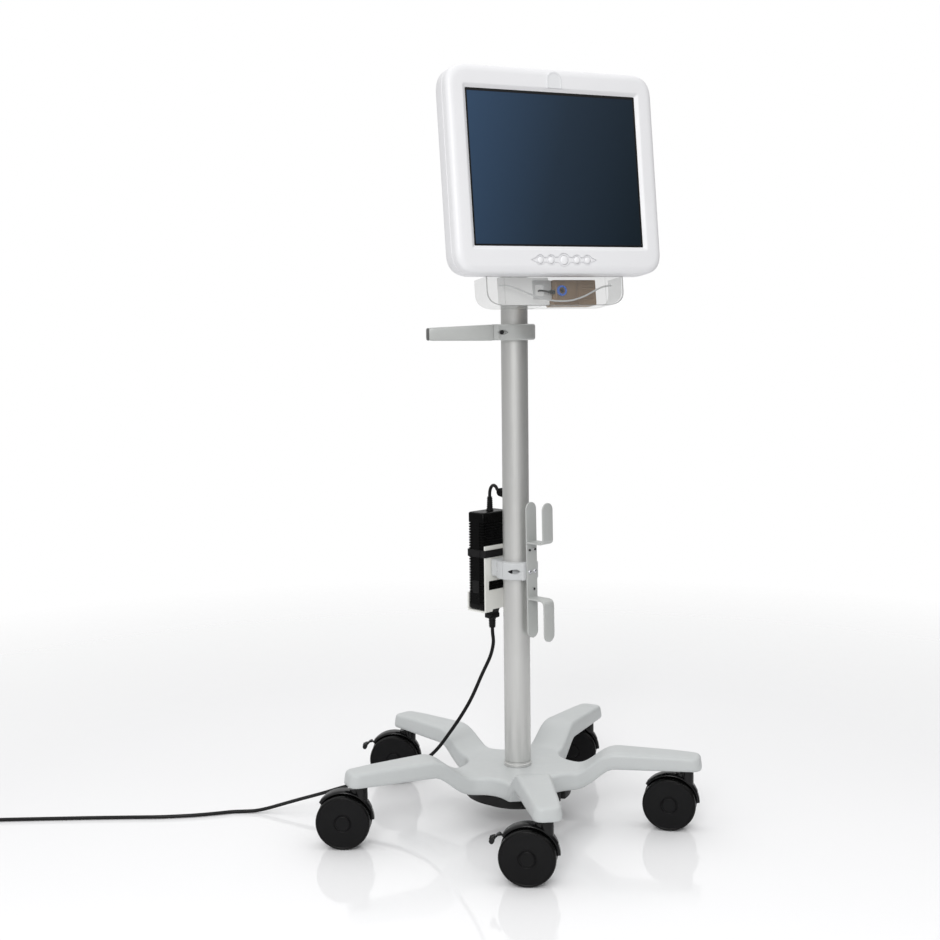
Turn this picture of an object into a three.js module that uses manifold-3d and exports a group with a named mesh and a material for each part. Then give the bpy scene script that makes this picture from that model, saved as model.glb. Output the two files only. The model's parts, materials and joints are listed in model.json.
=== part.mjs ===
// Bedside patient display on a five-legged roll stand with a mains power brick.
// Millimetres, +Z up. The screen faces -Y and +X is to the right of someone who reads it.
// The origin is on the floor, under the middle of the stand without its mains cord.
import * as THREE from 'three';
import { mergeVertices } from 'three/addons/utils/BufferGeometryUtils.js';
import Module from 'manifold-3d';

const wasm = await Module();
wasm.setup();

// ---------------------------------------------------------------- driving dimensions
const GAP = 0.3;                        // air between two pieces that touch
const RAD = Math.PI / 180;

const COLUMN = { x: 57.4, y: -14.8 };   // column axis in the part's frame
const TUBE = { r: 25.4, wall: 3, top: 1180 };

const LEGS = 5;
const FIRST_LEG = -18;                  // azimuth of the front leg, from -Y towards +X
const HUB = { under: 75, deck: 109.6, bore: 8.5, fillet: 55 };
const LEG = { root: 38, end: 26.5, tip: 354, corner: 18, under: 117.5, socket: 326 };

const WHEEL = { r: 50.8, inner: 6.5, outer: 26, facets: 20 };
const CASTER = { offset: 32, neck: 12.5, stem: 5.5, axle: 4 };
const TRAIL = [-122.5, -127.5, -122.5, -117.5, -117.5];   // azimuth that each caster trails to
const LEG_NAMES = ['front', 'right', 'rear_right', 'rear_left', 'left'];
const BRAKED = [0, 3];

const HANDLE = { low: 932.7, high: 962.6, seam: -41, end: -162.7, cap: -166.2, turn: -17 };
const ARM_AZIMUTH = 20;                 // azimuth of the cable hook; the power brick is opposite
const CLAMP = { low: 479, high: 512, r: 38, bolt: 31.7 };
const BRICK = { front: 52.5, depth: 41, width: 73, low: 412, high: 601 };
const HOOK = { face: 42, reach: 84, width: 28, sheet: 3, lean: -0.9 };

const SCREEN = { w: 336, h: 272, y: -170.2, z: 1232.7, tilt: 6.95 };
const CASE = { w: 408, top: 177, bottom: -184, corner: 40, front: -5.5, split: 16, flank: 40 };
const CASE_BACK = 76;
const TILT_PIN = { y: 100, r: 5 };      // depth of the tilt axis behind the glass
const TRAY = { w: 274, deep: 52.5, front: 26, back: 76, wall: 2.5, corner: 38 };

const CORD_R = 3.5;
const COIL = { r: [34.5, 41.5, 48.5], layers: 2 };

// ---------------------------------------------------------------- materials
function finish(color, roughness, metalness = 0) {
  return new THREE.MeshStandardMaterial({ color, roughness, metalness });
}
const CAST = finish(0xc7c9ca, 0.45, 0.1);
const SATIN = finish(0xbebebc, 0.35, 0.85);
const SILVER = finish(0xb9bbb9, 0.45, 0.3);
const CREAM = finish(0xe1e1dc, 0.5);
const WHITE = finish(0xe8e8ea, 0.4);
const BLACK = finish(0x161616, 0.5);
const RUBBER = finish(0x101010, 0.75);
const STEEL = finish(0xcfd0d2, 0.25, 1);
const GLASS = finish(0x27323f, 0.08);
const CLEAR = finish(0xd8dad8, 0.15);
const BROWN = finish(0x786755, 0.4, 0.5);
const BLUE = finish(0x3c8ce6, 0.35);
const GREEN = finish(0x1f6b3a, 0.5);

// ---------------------------------------------------------------- geometry helpers
function signedVolume(p, index) {
  const [a, b, c] = [new THREE.Vector3(), new THREE.Vector3(), new THREE.Vector3()];
  let sum = 0;
  for (let i = 0; i < index.length; i += 3) {
    a.fromBufferAttribute(p, index[i]);
    b.fromBufferAttribute(p, index[i + 1]);
    c.fromBufferAttribute(p, index[i + 2]);
    sum += a.dot(b.cross(c));
  }
  return sum / 6;
}

// Shares the vertices, drops triangles of no area and turns every face outwards.
function closed(geometry) {
  geometry.deleteAttribute('normal');
  geometry.deleteAttribute('uv');
  const merged = mergeVertices(geometry, 1e-4);
  const old = merged.getIndex().array;
  const index = [];
  for (let i = 0; i < old.length; i += 3) {
    const [a, b, c] = [old[i], old[i + 1], old[i + 2]];
    if (a !== b && b !== c && c !== a) index.push(a, b, c);
  }
  if (signedVolume(merged.attributes.position, index) < 0) index.reverse();
  merged.setIndex(index);
  return merged;
}

function toSolid(geometry) {
  const vertProperties = new Float32Array(geometry.attributes.position.array);
  const triVerts = new Uint32Array(geometry.getIndex().array);
  return new wasm.Manifold(new wasm.Mesh({ numProp: 3, vertProperties, triVerts }));
}

function toGeometry(solid) {
  const mesh = solid.getMesh();
  const geometry = new THREE.BufferGeometry();
  geometry.setAttribute('position', new THREE.BufferAttribute(new Float32Array(mesh.vertProperties), 3));
  geometry.setIndex(Array.from(mesh.triVerts));
  return geometry;
}

function combine(way, first, others) {
  let solid = toSolid(first);
  for (const other of others) solid = solid[way](toSolid(other));
  return toGeometry(solid);
}
const join = (first, ...others) => combine('add', first, others);
const cut = (first, ...others) => combine('subtract', first, others);
const common = (first, ...others) => combine('intersect', first, others);

// Turns geometry made along Z so that it runs along another axis.
const ALONG = {
  x: new THREE.Matrix4().set(0, 0, 1, 0, 1, 0, 0, 0, 0, 1, 0, 0, 0, 0, 0, 1),
  y: new THREE.Matrix4().set(1, 0, 0, 0, 0, 0, 1, 0, 0, 1, 0, 0, 0, 0, 0, 1),
  z: new THREE.Matrix4(),
};

// An outline of [a, b] points, pushed along an axis: x takes (y, z), y takes (x, z), z takes (x, y).
function prism(points, from, to, axis = 'z', holes = []) {
  const shape = new THREE.Shape(points);
  shape.holes = holes.map((hole) => new THREE.Path(hole));
  const geometry = new THREE.ExtrudeGeometry(shape, { depth: to - from, bevelEnabled: false });
  geometry.translate(0, 0, from);
  geometry.applyMatrix4(ALONG[axis]);
  return closed(geometry);
}

function box(x0, x1, y0, y1, z0, z1) {
  const geometry = new THREE.BoxGeometry(x1 - x0, y1 - y0, z1 - z0);
  return closed(geometry.translate((x0 + x1) / 2, (y0 + y1) / 2, (z0 + z1) / 2));
}

// A profile of [radius, height] points, turned about an axis.
function turned(profile, facets, axis = 'z', start = 0) {
  const points = profile.map(([r, h]) => new THREE.Vector2(r, h));
  const geometry = new THREE.LatheGeometry(points, facets, start);
  geometry.rotateX(Math.PI / 2);
  geometry.applyMatrix4(ALONG[axis]);
  return closed(geometry);
}

function rod(r, from, to, facets = 16, axis = 'z') {
  return turned([[0, from], [r, from], [r, to], [0, to]], facets, axis);
}

function arc(cx, cy, r, from, to, steps) {
  const points = [];
  for (let i = 0; i <= steps; i++) {
    const angle = (from + ((to - from) * i) / steps) * RAD;
    points.push(new THREE.Vector2(cx + r * Math.cos(angle), cy + r * Math.sin(angle)));
  }
  return points;
}

const circle = (cx, cy, r, facets = 24) => arc(cx, cy, r, 0, 360 - 360 / facets, facets - 1);

function roundedRect(x0, x1, y0, y1, r, steps = 5) {
  return [
    ...arc(x1 - r, y0 + r, r, -90, 0, steps),
    ...arc(x1 - r, y1 - r, r, 0, 90, steps),
    ...arc(x0 + r, y1 - r, r, 90, 180, steps),
    ...arc(x0 + r, y0 + r, r, 180, 270, steps),
  ];
}

// A stack of outlines with equal point counts, skinned into one closed body along Y.
function loft(sections) {
  const count = sections[0].points.length;
  const position = [];
  for (const { y, points } of sections) {
    for (const p of points) position.push(p.x, y, p.y);
  }
  const index = [];
  const cap = THREE.ShapeUtils.triangulateShape(sections[0].points, []);
  const last = (sections.length - 1) * count;
  for (const [a, b, c] of cap) index.push(a, b, c, last + a, last + c, last + b);
  for (let s = 0; s < sections.length - 1; s++) {
    for (let i = 0; i < count; i++) {
      const j = (i + 1) % count;
      const [a, b] = [s * count + i, s * count + j];
      index.push(a, a + count, b, b, a + count, b + count);
    }
  }
  const geometry = new THREE.BufferGeometry();
  geometry.setAttribute('position', new THREE.BufferAttribute(new Float32Array(position), 3));
  geometry.setIndex(index);
  return closed(geometry);
}

function tube(points, r, facets, steps) {
  const curve = new THREE.CatmullRomCurve3(points.map((p) => new THREE.Vector3(...p)), false, 'centripetal');
  const section = new THREE.Shape(circle(0, 0, r, facets));
  return closed(new THREE.ExtrudeGeometry(section, { extrudePath: curve, steps, bevelEnabled: false }));
}

// ---------------------------------------------------------------- scene graph
const monitorOnStand = new THREE.Group();
const stand = new THREE.Group();
stand.position.set(COLUMN.x, COLUMN.y, 0);
monitorOnStand.add(stand);

function piece(name, geometry, material, parent = stand) {
  const mesh = new THREE.Mesh(geometry, material);
  mesh.name = name;
  parent.add(mesh);
  return mesh;
}

function groupAt(parent, x, y, z, turn = 0) {
  const group = new THREE.Group();
  group.position.set(x, y, z);
  group.rotation.z = turn * RAD;
  parent.add(group);
  return group;
}

// ---------------------------------------------------------------- star base
const legAzimuth = (k) => FIRST_LEG + (360 / LEGS) * k;

// Side view of a leg, along and up: a low hub, an S-shaped rise and a long level end.
function legProfile() {
  const side = new THREE.Shape();
  side.moveTo(0, HUB.under);
  side.lineTo(108, HUB.under);
  side.bezierCurveTo(147, HUB.under, 166, LEG.under, 190, LEG.under);
  side.lineTo(LEG.tip, LEG.under);
  side.lineTo(LEG.tip, 143);
  side.lineTo(310, 145.5);
  side.lineTo(205, 148.5);
  side.bezierCurveTo(165, 149.5, 145, HUB.deck, 112, HUB.deck);
  side.lineTo(0, HUB.deck);
  return side.getPoints(5);
}

// Plan of the whole star: tapered legs with rounded ends and a concave fillet between neighbours.
function starOutline() {
  const points = [];
  const half = Math.PI / LEGS;
  const reach = (LEG.root + HUB.fillet) / Math.sin(half);
  for (let k = 0; k < LEGS; k++) {
    const turn = legAzimuth(k) - 90;
    const tip = [
      ...arc(LEG.tip - LEG.corner, -LEG.end + LEG.corner, LEG.corner, -90, 0, 3),
      ...arc(LEG.tip - LEG.corner, LEG.end - LEG.corner, LEG.corner, 0, 90, 3),
    ];
    const origin = new THREE.Vector2();
    points.push(...tip.map((p) => p.rotateAround(origin, turn * RAD)));
    const middle = (turn + 180 / LEGS) * RAD;
    const centre = [reach * Math.cos(middle), reach * Math.sin(middle)];
    points.push(...arc(...centre, HUB.fillet, turn + 270, turn + 90 + 360 / LEGS, 6));
  }
  return points;
}

function starBase() {
  const wide = LEG.root + 9;
  const legs = [];
  for (let k = 0; k < LEGS; k++) {
    const leg = prism(legProfile(), -wide, wide, 'y');
    legs.push(leg.rotateZ((legAzimuth(k) - 90) * RAD));
  }
  const hub = rod(118, HUB.under, HUB.deck, 32);
  const star = common(join(hub, ...legs), prism(starOutline(), HUB.under - 1, 160));
  const holes = [rod(HUB.bore, 0, 200)];
  for (let k = 0; k < LEGS; k++) {
    const a = (legAzimuth(k) - 90) * RAD;
    const socket = rod(CASTER.stem + 0.6, 100, LEG.under + 20, 12);
    holes.push(socket.translate(LEG.socket * Math.cos(a), LEG.socket * Math.sin(a), 0));
  }
  return cut(star, ...holes);
}

piece('star_base', starBase(), CAST);
piece('ballast_plate', cut(rod(103, 56, HUB.under - GAP, 32), rod(HUB.bore, 0, 200)), BLACK);
piece('ballast_weight', cut(rod(82, 45, 56 - GAP, 32), rod(HUB.bore, 0, 200)), BLACK);

// The bolt that clamps the ballast, the star and the column's foot plug together.
function centreBolt() {
  return turned([[0, 38], [12, 38], [12, 45 - GAP], [6, 45 - GAP], [6, 128], [0, 128]], 12);
}
piece('centre_bolt', centreBolt(), STEEL);

// ---------------------------------------------------------------- column
const FOOT = HUB.deck + GAP;
function columnTube() {
  const inner = TUBE.r - TUBE.wall;
  const wall = [[inner, FOOT + 10], [TUBE.r, FOOT + 10], [TUBE.r, TUBE.top], [inner, TUBE.top],
    [inner, FOOT + 10]];
  const port = rod(6, -TUBE.r - 5, 0, 12, 'y').translate(0, 0, 640);
  return cut(turned(wall, 32), port.rotateZ((ARM_AZIMUTH + 180) * RAD));
}
function footPlug() {
  const inner = TUBE.r - TUBE.wall - GAP;
  const blank = turned([[0, FOOT], [TUBE.r + 0.9, FOOT], [TUBE.r + 0.9, FOOT + 6], [TUBE.r, FOOT + 10 - GAP],
    [inner, FOOT + 10 - GAP], [inner, FOOT + 40], [0, FOOT + 40]], 24);
  return cut(blank, rod(6 + GAP, 0, 128 + GAP, 12));
}
piece('column_tube', columnTube(), SATIN);
piece('column_foot', footPlug(), SATIN);

// ---------------------------------------------------------------- casters
// Built at the stem's axis with the wheels trailing towards +X and the axle along Y.
function hood() {
  const [cx, cz] = [CASTER.offset, WHEEL.r];
  const [inner, outer] = [WHEEL.r + 2.8, WHEEL.r + 8];
  const fender = prism([...arc(cx, cz, outer, 42, 172, 8), ...arc(cx, cz, inner, 172, 42, 8)], -14, 14, 'y');
  const web = prism([...arc(cx, cz, outer - 1, 48, 165, 6), ...arc(cx, cz, 12, 230, 330, 3)], -4.5, 4.5, 'y');
  const neck = rod(CASTER.neck, 70, LEG.under - GAP, 16);
  const shoulder = prism(roundedRect(-CASTER.neck, 16, -10, 10, 8, 2), 84, 108);
  const stem = rod(CASTER.stem, LEG.under - 1, LEG.under + 19, 8);
  const axle = rod(CASTER.axle, -19, 19, 10, 'y').translate(cx, 0, cz);
  const wheelRoom = rod(WHEEL.r + 2.8, 4.6, 40, 20, 'y').translate(cx, 0, cz);
  const otherRoom = rod(WHEEL.r + 2.8, -40, -4.6, 20, 'y').translate(cx, 0, cz);
  const body = cut(join(neck, shoulder, fender, web), wheelRoom, otherRoom);
  return join(body, stem, axle);
}

// A tyre on a dished disc with a domed cap; its bore is blind and opens on the inner side.
function wheel(side) {
  const r = WHEEL.r / Math.cos(Math.PI / WHEEL.facets);
  const [a, b] = [WHEEL.inner, WHEEL.outer];
  const bore = CASTER.axle + 0.4;
  const profile = [[0, 19.6], [bore, 19.6], [bore, a], [r - 4, a], [r, a + 4], [r, b - 4], [r - 4, b],
    [0, b]];
  const turnedWheel = turned(profile, WHEEL.facets, 'y', Math.PI / WHEEL.facets);
  if (side < 0) turnedWheel.scale(1, -1, 1);
  return closed(turnedWheel.translate(CASTER.offset, 0, WHEEL.r));
}

// A narrow tongue between the wheels, under the end of the hood, with a thumb-sized pad outside them.
function brakePedal() {
  const outline = (pairs) => pairs.map(([x, z]) => new THREE.Vector2(x, z));
  const tongue = outline([[77, 84.6], [81, 88.6], [86, 86.5], [92, 81], [94, 77], [91, 75], [88, 79],
    [84, 83.2]]);
  const pad = outline([[89.5, 81.6], [95, 80.5], [99.5, 77.5], [99.5, 73.5], [96.5, 70], [92.5, 70.2],
    [89, 75.4]]);
  return join(prism(tongue, -5, 5, 'y'), prism(pad, -11, 11, 'y'));
}

for (let k = 0; k < LEGS; k++) {
  const a = (legAzimuth(k) - 90) * RAD;
  const at = [LEG.socket * Math.cos(a), LEG.socket * Math.sin(a)];
  const caster = groupAt(stand, ...at, 0, TRAIL[k] - 90);
  piece(`caster_hood_${LEG_NAMES[k]}`, hood(), BLACK, caster);
  piece(`caster_wheel_${LEG_NAMES[k]}_a`, wheel(1), RUBBER, caster);
  piece(`caster_wheel_${LEG_NAMES[k]}_b`, wheel(-1), RUBBER, caster);
  if (BRAKED.includes(k)) piece(`brake_pedal_${LEG_NAMES[k]}`, brakePedal(), BLACK, caster);
}

// ---------------------------------------------------------------- push handle
function handleClamp() {
  const ring = rod(40, HANDLE.low, HANDLE.high, 32);
  const lug = prism(roundedRect(HANDLE.seam, 0, -16, 16, 5, 3), HANDLE.low, HANDLE.high);
  const middle = (HANDLE.low + HANDLE.high) / 2;
  const recess = rod(4.5, -60, -26.2, 12, 'y').translate(-26, 0, middle);
  return cut(join(ring, lug), rod(TUBE.r + GAP, 0, 2000, 32), recess);
}
function handleBar() {
  const seam = HANDLE.seam - GAP;
  const [low, high] = [HANDLE.low, HANDLE.high - 1.5];
  const side = [[seam, low], [seam, high], [HANDLE.end, 957.5], [HANDLE.end, 935]];
  const points = side.map(([x, z]) => new THREE.Vector2(x, z));
  const plan = prism(roundedRect(HANDLE.end - 4, seam, -14, 14, 4, 3), 900, 1000);
  const trim = box(HANDLE.end, 0, -40, 40, 900, 1000);
  return common(prism(points, -20, 20, 'y'), plan, trim);
}
function handleCap() {
  const end = HANDLE.end - GAP;
  return common(prism(roundedRect(HANDLE.cap, end + 20, -14, 14, 3, 3), 935.5, 957),
    box(HANDLE.cap, end, -30, 30, 900, 1000));
}
const grip = groupAt(stand, 0, 0, 0, HANDLE.turn);
piece('handle_clamp', handleClamp(), SILVER, grip);
piece('handle_bar', handleBar(), SILVER, grip);
piece('handle_cap', handleCap(), BLACK, grip);

// ---------------------------------------------------------------- accessory clamp
// Its own frame is turned so that the cable hook stands off along -Y and the power brick along +Y.
const arm = groupAt(stand, 0, 0, 0, ARM_AZIMUTH);

function clampHalf(side) {
  const ring = rod(CLAMP.r, CLAMP.low, CLAMP.high, 32);
  const [y0, y1] = side > 0 ? [20, 48 - GAP] : [-39 + GAP, -20];
  const boss = prism(roundedRect(-22, 22, y0, y1, 5, 3), CLAMP.low, CLAMP.high);
  const keep = side > 0 ? box(-60, 60, GAP, 60, 0, 1000) : box(-60, 60, -60, -GAP, 0, 1000);
  const bore = rod(TUBE.r + GAP, 0, 1000, 32);
  const bolt = rod(3.6, -60, 60, 12, 'y').translate(-CLAMP.bolt, 0, (CLAMP.low + CLAMP.high) / 2);
  const other = rod(3.6, -60, 60, 12, 'y').translate(CLAMP.bolt, 0, (CLAMP.low + CLAMP.high) / 2);
  return cut(common(join(ring, boss), keep), bore, bolt, other);
}
function clampBolt(x) {
  const bolt = turned([[0, -22], [3.3, -22], [3.3, 17], [0, 17]], 12, 'y');
  return bolt.translate(x, 0, (CLAMP.low + CLAMP.high) / 2);
}
piece('clamp_hook_half', clampHalf(-1), CREAM, arm);
piece('clamp_brick_half', clampHalf(1), CREAM, arm);
piece('clamp_bolt_left', clampBolt(-CLAMP.bolt), STEEL, arm);
piece('clamp_bolt_right', clampBolt(CLAMP.bolt), STEEL, arm);

// A strip with two hooks on it: the upper one opens upwards and the lower one downwards.
function cableHook() {
  const [w, s] = [HOOK.width / 2, HOOK.sheet];
  const [face, out] = [-HOOK.face, -HOOK.reach];
  const blade = (y, z0, z1) => prism(roundedRect(-w, w, z0, z1, w - 0.1, 6), y, y + s, 'y');
  const strip = blade(face, 366.5, 628);
  const up = common(blade(out, 530, 630), box(-w, w, -200, 0, 550, 700));
  const down = common(blade(out, 364, 470), box(-w, w, -200, 0, 300, 445));
  const shelf = (z) => box(-w, w, out, face + 1, z, z + s);
  const drill = (x, z, r) => rod(r, -60, -20, 10, 'y').translate(x, 0, z);
  const holes = [drill(-7, 495, 2.6), drill(7, 495, 2.6), drill(0, 460, 2.2)];
  return cut(join(strip, up, down, shelf(550), shelf(445 - s)), ...holes);
}
const lean = new THREE.Group();
lean.position.set(0, 0, 495);
lean.rotation.y = HOOK.lean * RAD;
arm.add(lean);
piece('cable_hook', cableHook().translate(0, 0, -495), SILVER, lean);

// ---------------------------------------------------------------- power brick
function brickBracket() {
  const [y0, y1] = [48, BRICK.front + BRICK.depth + 1];
  const w = BRICK.width / 2;
  const plate = box(-w, w, y0, y0 + 3, 406.5, 537);
  const floor = box(-w, w, y0, y1 + 3, 406.5, 409.5);
  const lip = box(-w, w, y1, y1 + 3, 406.5, 443);
  const notch = box(-16, 30, y0 - 1, y1 - 6, 400, 411.5);
  const window = box(-26, 26, y0 - 5, y0 + 5, 450, 468);
  return cut(join(plate, floor, lip), notch, window);
}
function brickCase() {
  const w = BRICK.width / 2;
  const plan = roundedRect(-w, w, BRICK.front, BRICK.front + BRICK.depth, 3.5, 3);
  return prism(plan, BRICK.low, BRICK.high);
}
function brickStrap() {
  const w = BRICK.width / 2;
  const [y0, y1] = [48, BRICK.front + BRICK.depth];
  const outer = roundedRect(-w - 2, w + 2, y0 - 2, y1 + 2, 4, 3);
  const inner = roundedRect(-w - GAP, w + GAP, y0 - GAP, y1 + GAP, 0.2, 1);
  return cut(prism(outer, 514, 529.5), prism(inner, 500, 540));
}
piece('brick_bracket', brickBracket(), CREAM, arm);
piece('brick_case', brickCase(), BLACK, arm);
piece('brick_strap', brickStrap(), RUBBER, arm);

// The low-voltage lead loops from the top of the brick into the column.
const LEAD_OUT = [5.5, 75];
function leadRelief() {
  const z = BRICK.high + GAP;
  return turned([[0, z], [5.5, z], [5, z + 4], [3.6, z + 27], [0, z + 27]], 12).translate(...LEAD_OUT, 0);
}
function columnPlug() {
  const profile = [[0, 24], [5.4, 24], [5.4, TUBE.r + GAP], [10, TUBE.r + 0.7], [10, 29], [6.5, 30],
    [4, 46], [0, 46]];
  const plug = turned(profile, 12, 'y');
  return plug.translate(0, 0, 640);
}
const lead = [[LEAD_OUT[0], LEAD_OUT[1], BRICK.high + 27 + 2 * GAP], [5.5, 74.6, 636], [5, 72.5, 643.5],
  [4, 67.5, 648.5], [2.4, 62, 647.4], [0.8, 56, 642.6], [0, 51, 640.3], [0, 46 + 2 * GAP, 640]];
piece('lead_relief', leadRelief(), BLACK, arm);
piece('column_plug', columnPlug(), BLACK, arm);
piece('brick_lead', tube(lead, 2.7, 8, 14), BLACK, arm);

// ---------------------------------------------------------------- mains cord
const INLET = [4, 70];
function cordConnector() {
  const body = prism(roundedRect(INLET[0] - 14, INLET[0] + 14, INLET[1] - 9, INLET[1] + 9, 3, 2), 389,
    BRICK.low - GAP);
  const relief = turned([[0, 370], [4.4, 370], [6.6, 387], [7.5, 390], [0, 390]], 12).translate(...INLET, 0);
  return join(body, relief);
}
piece('cord_connector', cordConnector(), BLACK, arm);

// Down from the brick, behind the left leg and out over the floor, from the column's axis.
const CORD_ROUTE = [
  [-20.2, 67.1, 369.7], [-19.6, 66.9, 356], [-18.4, 66.4, 342], [-23, 68.5, 316],
  [-39.4, 75.8, 276], [-62.9, 86.4, 220], [-95.5, 101, 164], [-131.7, 117.3, 115],
  [-174, 136.2, 86], [-228.5, 160.6, 66], [-288.6, 187.5, 52], [-333.9, 207.8, 38],
  [-372.8, 225.2, 27], [-406.2, 240.2, 17], [-433.3, 252.4, 9], [-454, 262.5, 4.6],
  [-475, 272, 3.7], [-496, 279.5, 3.7], [-530, 285.5, 3.7], [-566, 293, 3.7],
  [-600, 303.5, 3.7], [-633, 315.5, 3.7], [-679, 336.5, 3.7], [-758, 372, 3.7],
  [-839, 407, 3.7], [-920, 441.5, 3.7], [-987, 469.6, 3.7],
];
const [END, BEFORE_END] = [1, 2].map((i) => new THREE.Vector3(...CORD_ROUTE[CORD_ROUTE.length - i]));
const HEADING = END.clone().sub(BEFORE_END).normalize();
const COIL_OUT = COIL.r[2] + CORD_R;
// Where the outer turn first touches a straight cord, measured back from the tangent point.
const TOUCH = Math.sqrt(COIL_OUT ** 2 - (COIL.r[2] - CORD_R) ** 2) + GAP;
const TANGENT = END.clone().addScaledVector(HEADING, TOUCH);
const SIDE = new THREE.Vector3(-HEADING.y, HEADING.x, 0);
const COIL_CENTRE = TANGENT.clone().addScaledVector(SIDE, -COIL.r[2]);

piece('mains_cord', tube(CORD_ROUTE, CORD_R, 8, 66), RUBBER);

function mainsCoil() {
  const inner = COIL.r[0] - CORD_R;
  const high = COIL.layers * 2 * CORD_R + 0.4;
  return turned([[inner, 0.2], [COIL_OUT, 0.2], [COIL_OUT, high], [inner, high], [inner, 0.2]], 24);
}
piece('mains_coil', mainsCoil(), RUBBER).position.set(COIL_CENTRE.x, COIL_CENTRE.y, 0);

// A moulded plug with two blades and an earth pin; its relief starts at the coil.
function mainsPlug() {
  const relief = turned([[0, 0], [4.2, 0], [7, 18], [0, 18]], 12, 'x');
  const body = prism(roundedRect(-14, 14, -11.8, 11.8, 5, 3), 17.5, 50, 'x');
  const blade = (y) => box(49, 66, y - 0.8, y + 0.8, -1, 5);
  const earth = rod(2.4, 49, 68, 10, 'x').translate(0, 0, -6.5);
  return join(body, relief, blade(-6.3), blade(6.3), earth);
}
// The coil is wound clockwise and its last turn leaves it after this part of a turn.
const LAST_TURN = 60;
const plugAngle = Math.atan2(HEADING.y, HEADING.x) / RAD - LAST_TURN;
const exit = new THREE.Vector3(Math.cos(plugAngle * RAD), Math.sin(plugAngle * RAD), 0);
const exitSide = new THREE.Vector3(-exit.y, exit.x, 0);
const plugAt = COIL_CENTRE.clone().addScaledVector(exitSide, COIL.r[2]).addScaledVector(exit, TOUCH + 0.4);
const plugGroup = groupAt(stand, plugAt.x, plugAt.y, 12.1, plugAngle);
piece('mains_plug', mainsPlug(), BLACK, plugGroup);

// ---------------------------------------------------------------- head
function tiltPoint(y, z) {
  const a = SCREEN.tilt * RAD;
  return [SCREEN.y + y * Math.cos(a) + z * Math.sin(a), SCREEN.z - y * Math.sin(a) + z * Math.cos(a)];
}
const [PIN_Y, PIN_Z] = tiltPoint(TILT_PIN.y, 0);

function headBush() {
  const inner = TUBE.r - TUBE.wall - GAP;
  return turned([[0, TUBE.top - 30], [inner, TUBE.top - 30], [inner, TUBE.top + GAP],
    [TUBE.r + 2, TUBE.top + GAP],
    [TUBE.r + 2, TUBE.top + 6], [9, TUBE.top + 6], [9, TUBE.top + 20], [0, TUBE.top + 20]], 24);
}
function swivelHead() {
  const low = TUBE.top + 6 + GAP;
  const hub = rod(30, low, PIN_Z + 18, 24);
  const neck = box(-25, 25, PIN_Y + 20, 0, PIN_Z - 16, PIN_Z + 16);
  const ear = (x) => join(rod(15, x, x + 9, 16, 'x').translate(0, PIN_Y, PIN_Z),
    box(x, x + 9, PIN_Y, PIN_Y + 24, PIN_Z - 15, PIN_Z + 15));
  const spindle = rod(9 + GAP, 0, TUBE.top + 20 + GAP, 16);
  const eye = rod(TILT_PIN.r + GAP, -40, 40, 16, 'x').translate(0, PIN_Y, PIN_Z);
  return cut(join(hub, neck, ear(-25), ear(16)), spindle, eye);
}
function tiltPin() {
  return turned([[0, -29], [9, -29], [9, -25 - GAP], [TILT_PIN.r, -25 - GAP], [TILT_PIN.r, 29], [0, 29]],
    16, 'x')
    .translate(0, PIN_Y, PIN_Z);
}
piece('head_bush', headBush(), BLACK);
piece('swivel_head', swivelHead(), CREAM);
piece('tilt_pin', tiltPin(), STEEL);

// ---------------------------------------------------------------- display
// Its own frame is at the middle of the glass: X right, Y into the case, Z up the screen.
const display = groupAt(stand, 0, SCREEN.y, SCREEN.z);
display.rotation.x = -SCREEN.tilt * RAD;

function mountPlate() {
  const plate = prism(roundedRect(-60, 60, -60, 60, 8, 3), CASE_BACK + GAP, CASE_BACK + 4, 'y');
  const knuckle = box(-15.6, 15.6, CASE_BACK + 3, TILT_PIN.y, -11, 11);
  const end = rod(11, -15.6, 15.6, 20, 'x').translate(0, TILT_PIN.y, 0);
  const eye = rod(TILT_PIN.r + GAP, -30, 30, 16, 'x').translate(0, TILT_PIN.y, 0);
  return cut(join(plate, knuckle, end), eye);
}

const caseOutline = (grow) => roundedRect(-CASE.w / 2 - grow, CASE.w / 2 + grow, CASE.bottom - grow,
  CASE.top + grow, CASE.corner + grow, 4);
const section = (y, grow) => ({ y, points: caseOutline(grow) });

const BUTTON_Z = -160.5;
const BUTTONS = [[-45, 6], [-23.5, 6], [2, 8], [27.5, 6], [49, 6]];
const CAVITY = -4;

function frontBezel() {
  const shell = loft([section(CASE.front, -8), section(CASE.front + 3, -2), section(CASE.front + 9, 0),
    section(CASE.split, 0)]);
  const opening = prism(roundedRect(-SCREEN.w / 2, SCREEN.w / 2, -SCREEN.h / 2, SCREEN.h / 2, 2, 2), -20,
    40, 'y');
  const cavity = prism(caseOutline(CAVITY), -GAP, 40, 'y');
  const holes = BUTTONS.map(([x, r]) => rod(r + GAP, -20, 10, 16, 'y').translate(x, 0, BUTTON_Z));
  return cut(shell, opening, cavity, ...holes);
}
function rearHousing() {
  const y0 = CASE.split + GAP;
  const shell = loft([section(y0, 0), section(CASE.flank, 0), section(54, -6), section(68, -24),
    section(CASE_BACK, -36)]);
  const room = loft([section(y0 - 5, -3), section(CASE.flank, -3), section(54, -9), section(66, -27),
    section(CASE_BACK - 3, -39)]);
  return cut(shell, room);
}
piece('front_bezel', frontBezel(), WHITE, display);
piece('rear_housing', rearHousing(), WHITE, display);
piece('screen_glass', box(-173, 173, 0, 2.4, -140, 140), GLASS, display);
piece('lcd_panel', box(-175, 175, 2.4 + GAP, 15, -141, 141), BLACK, display);
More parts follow.
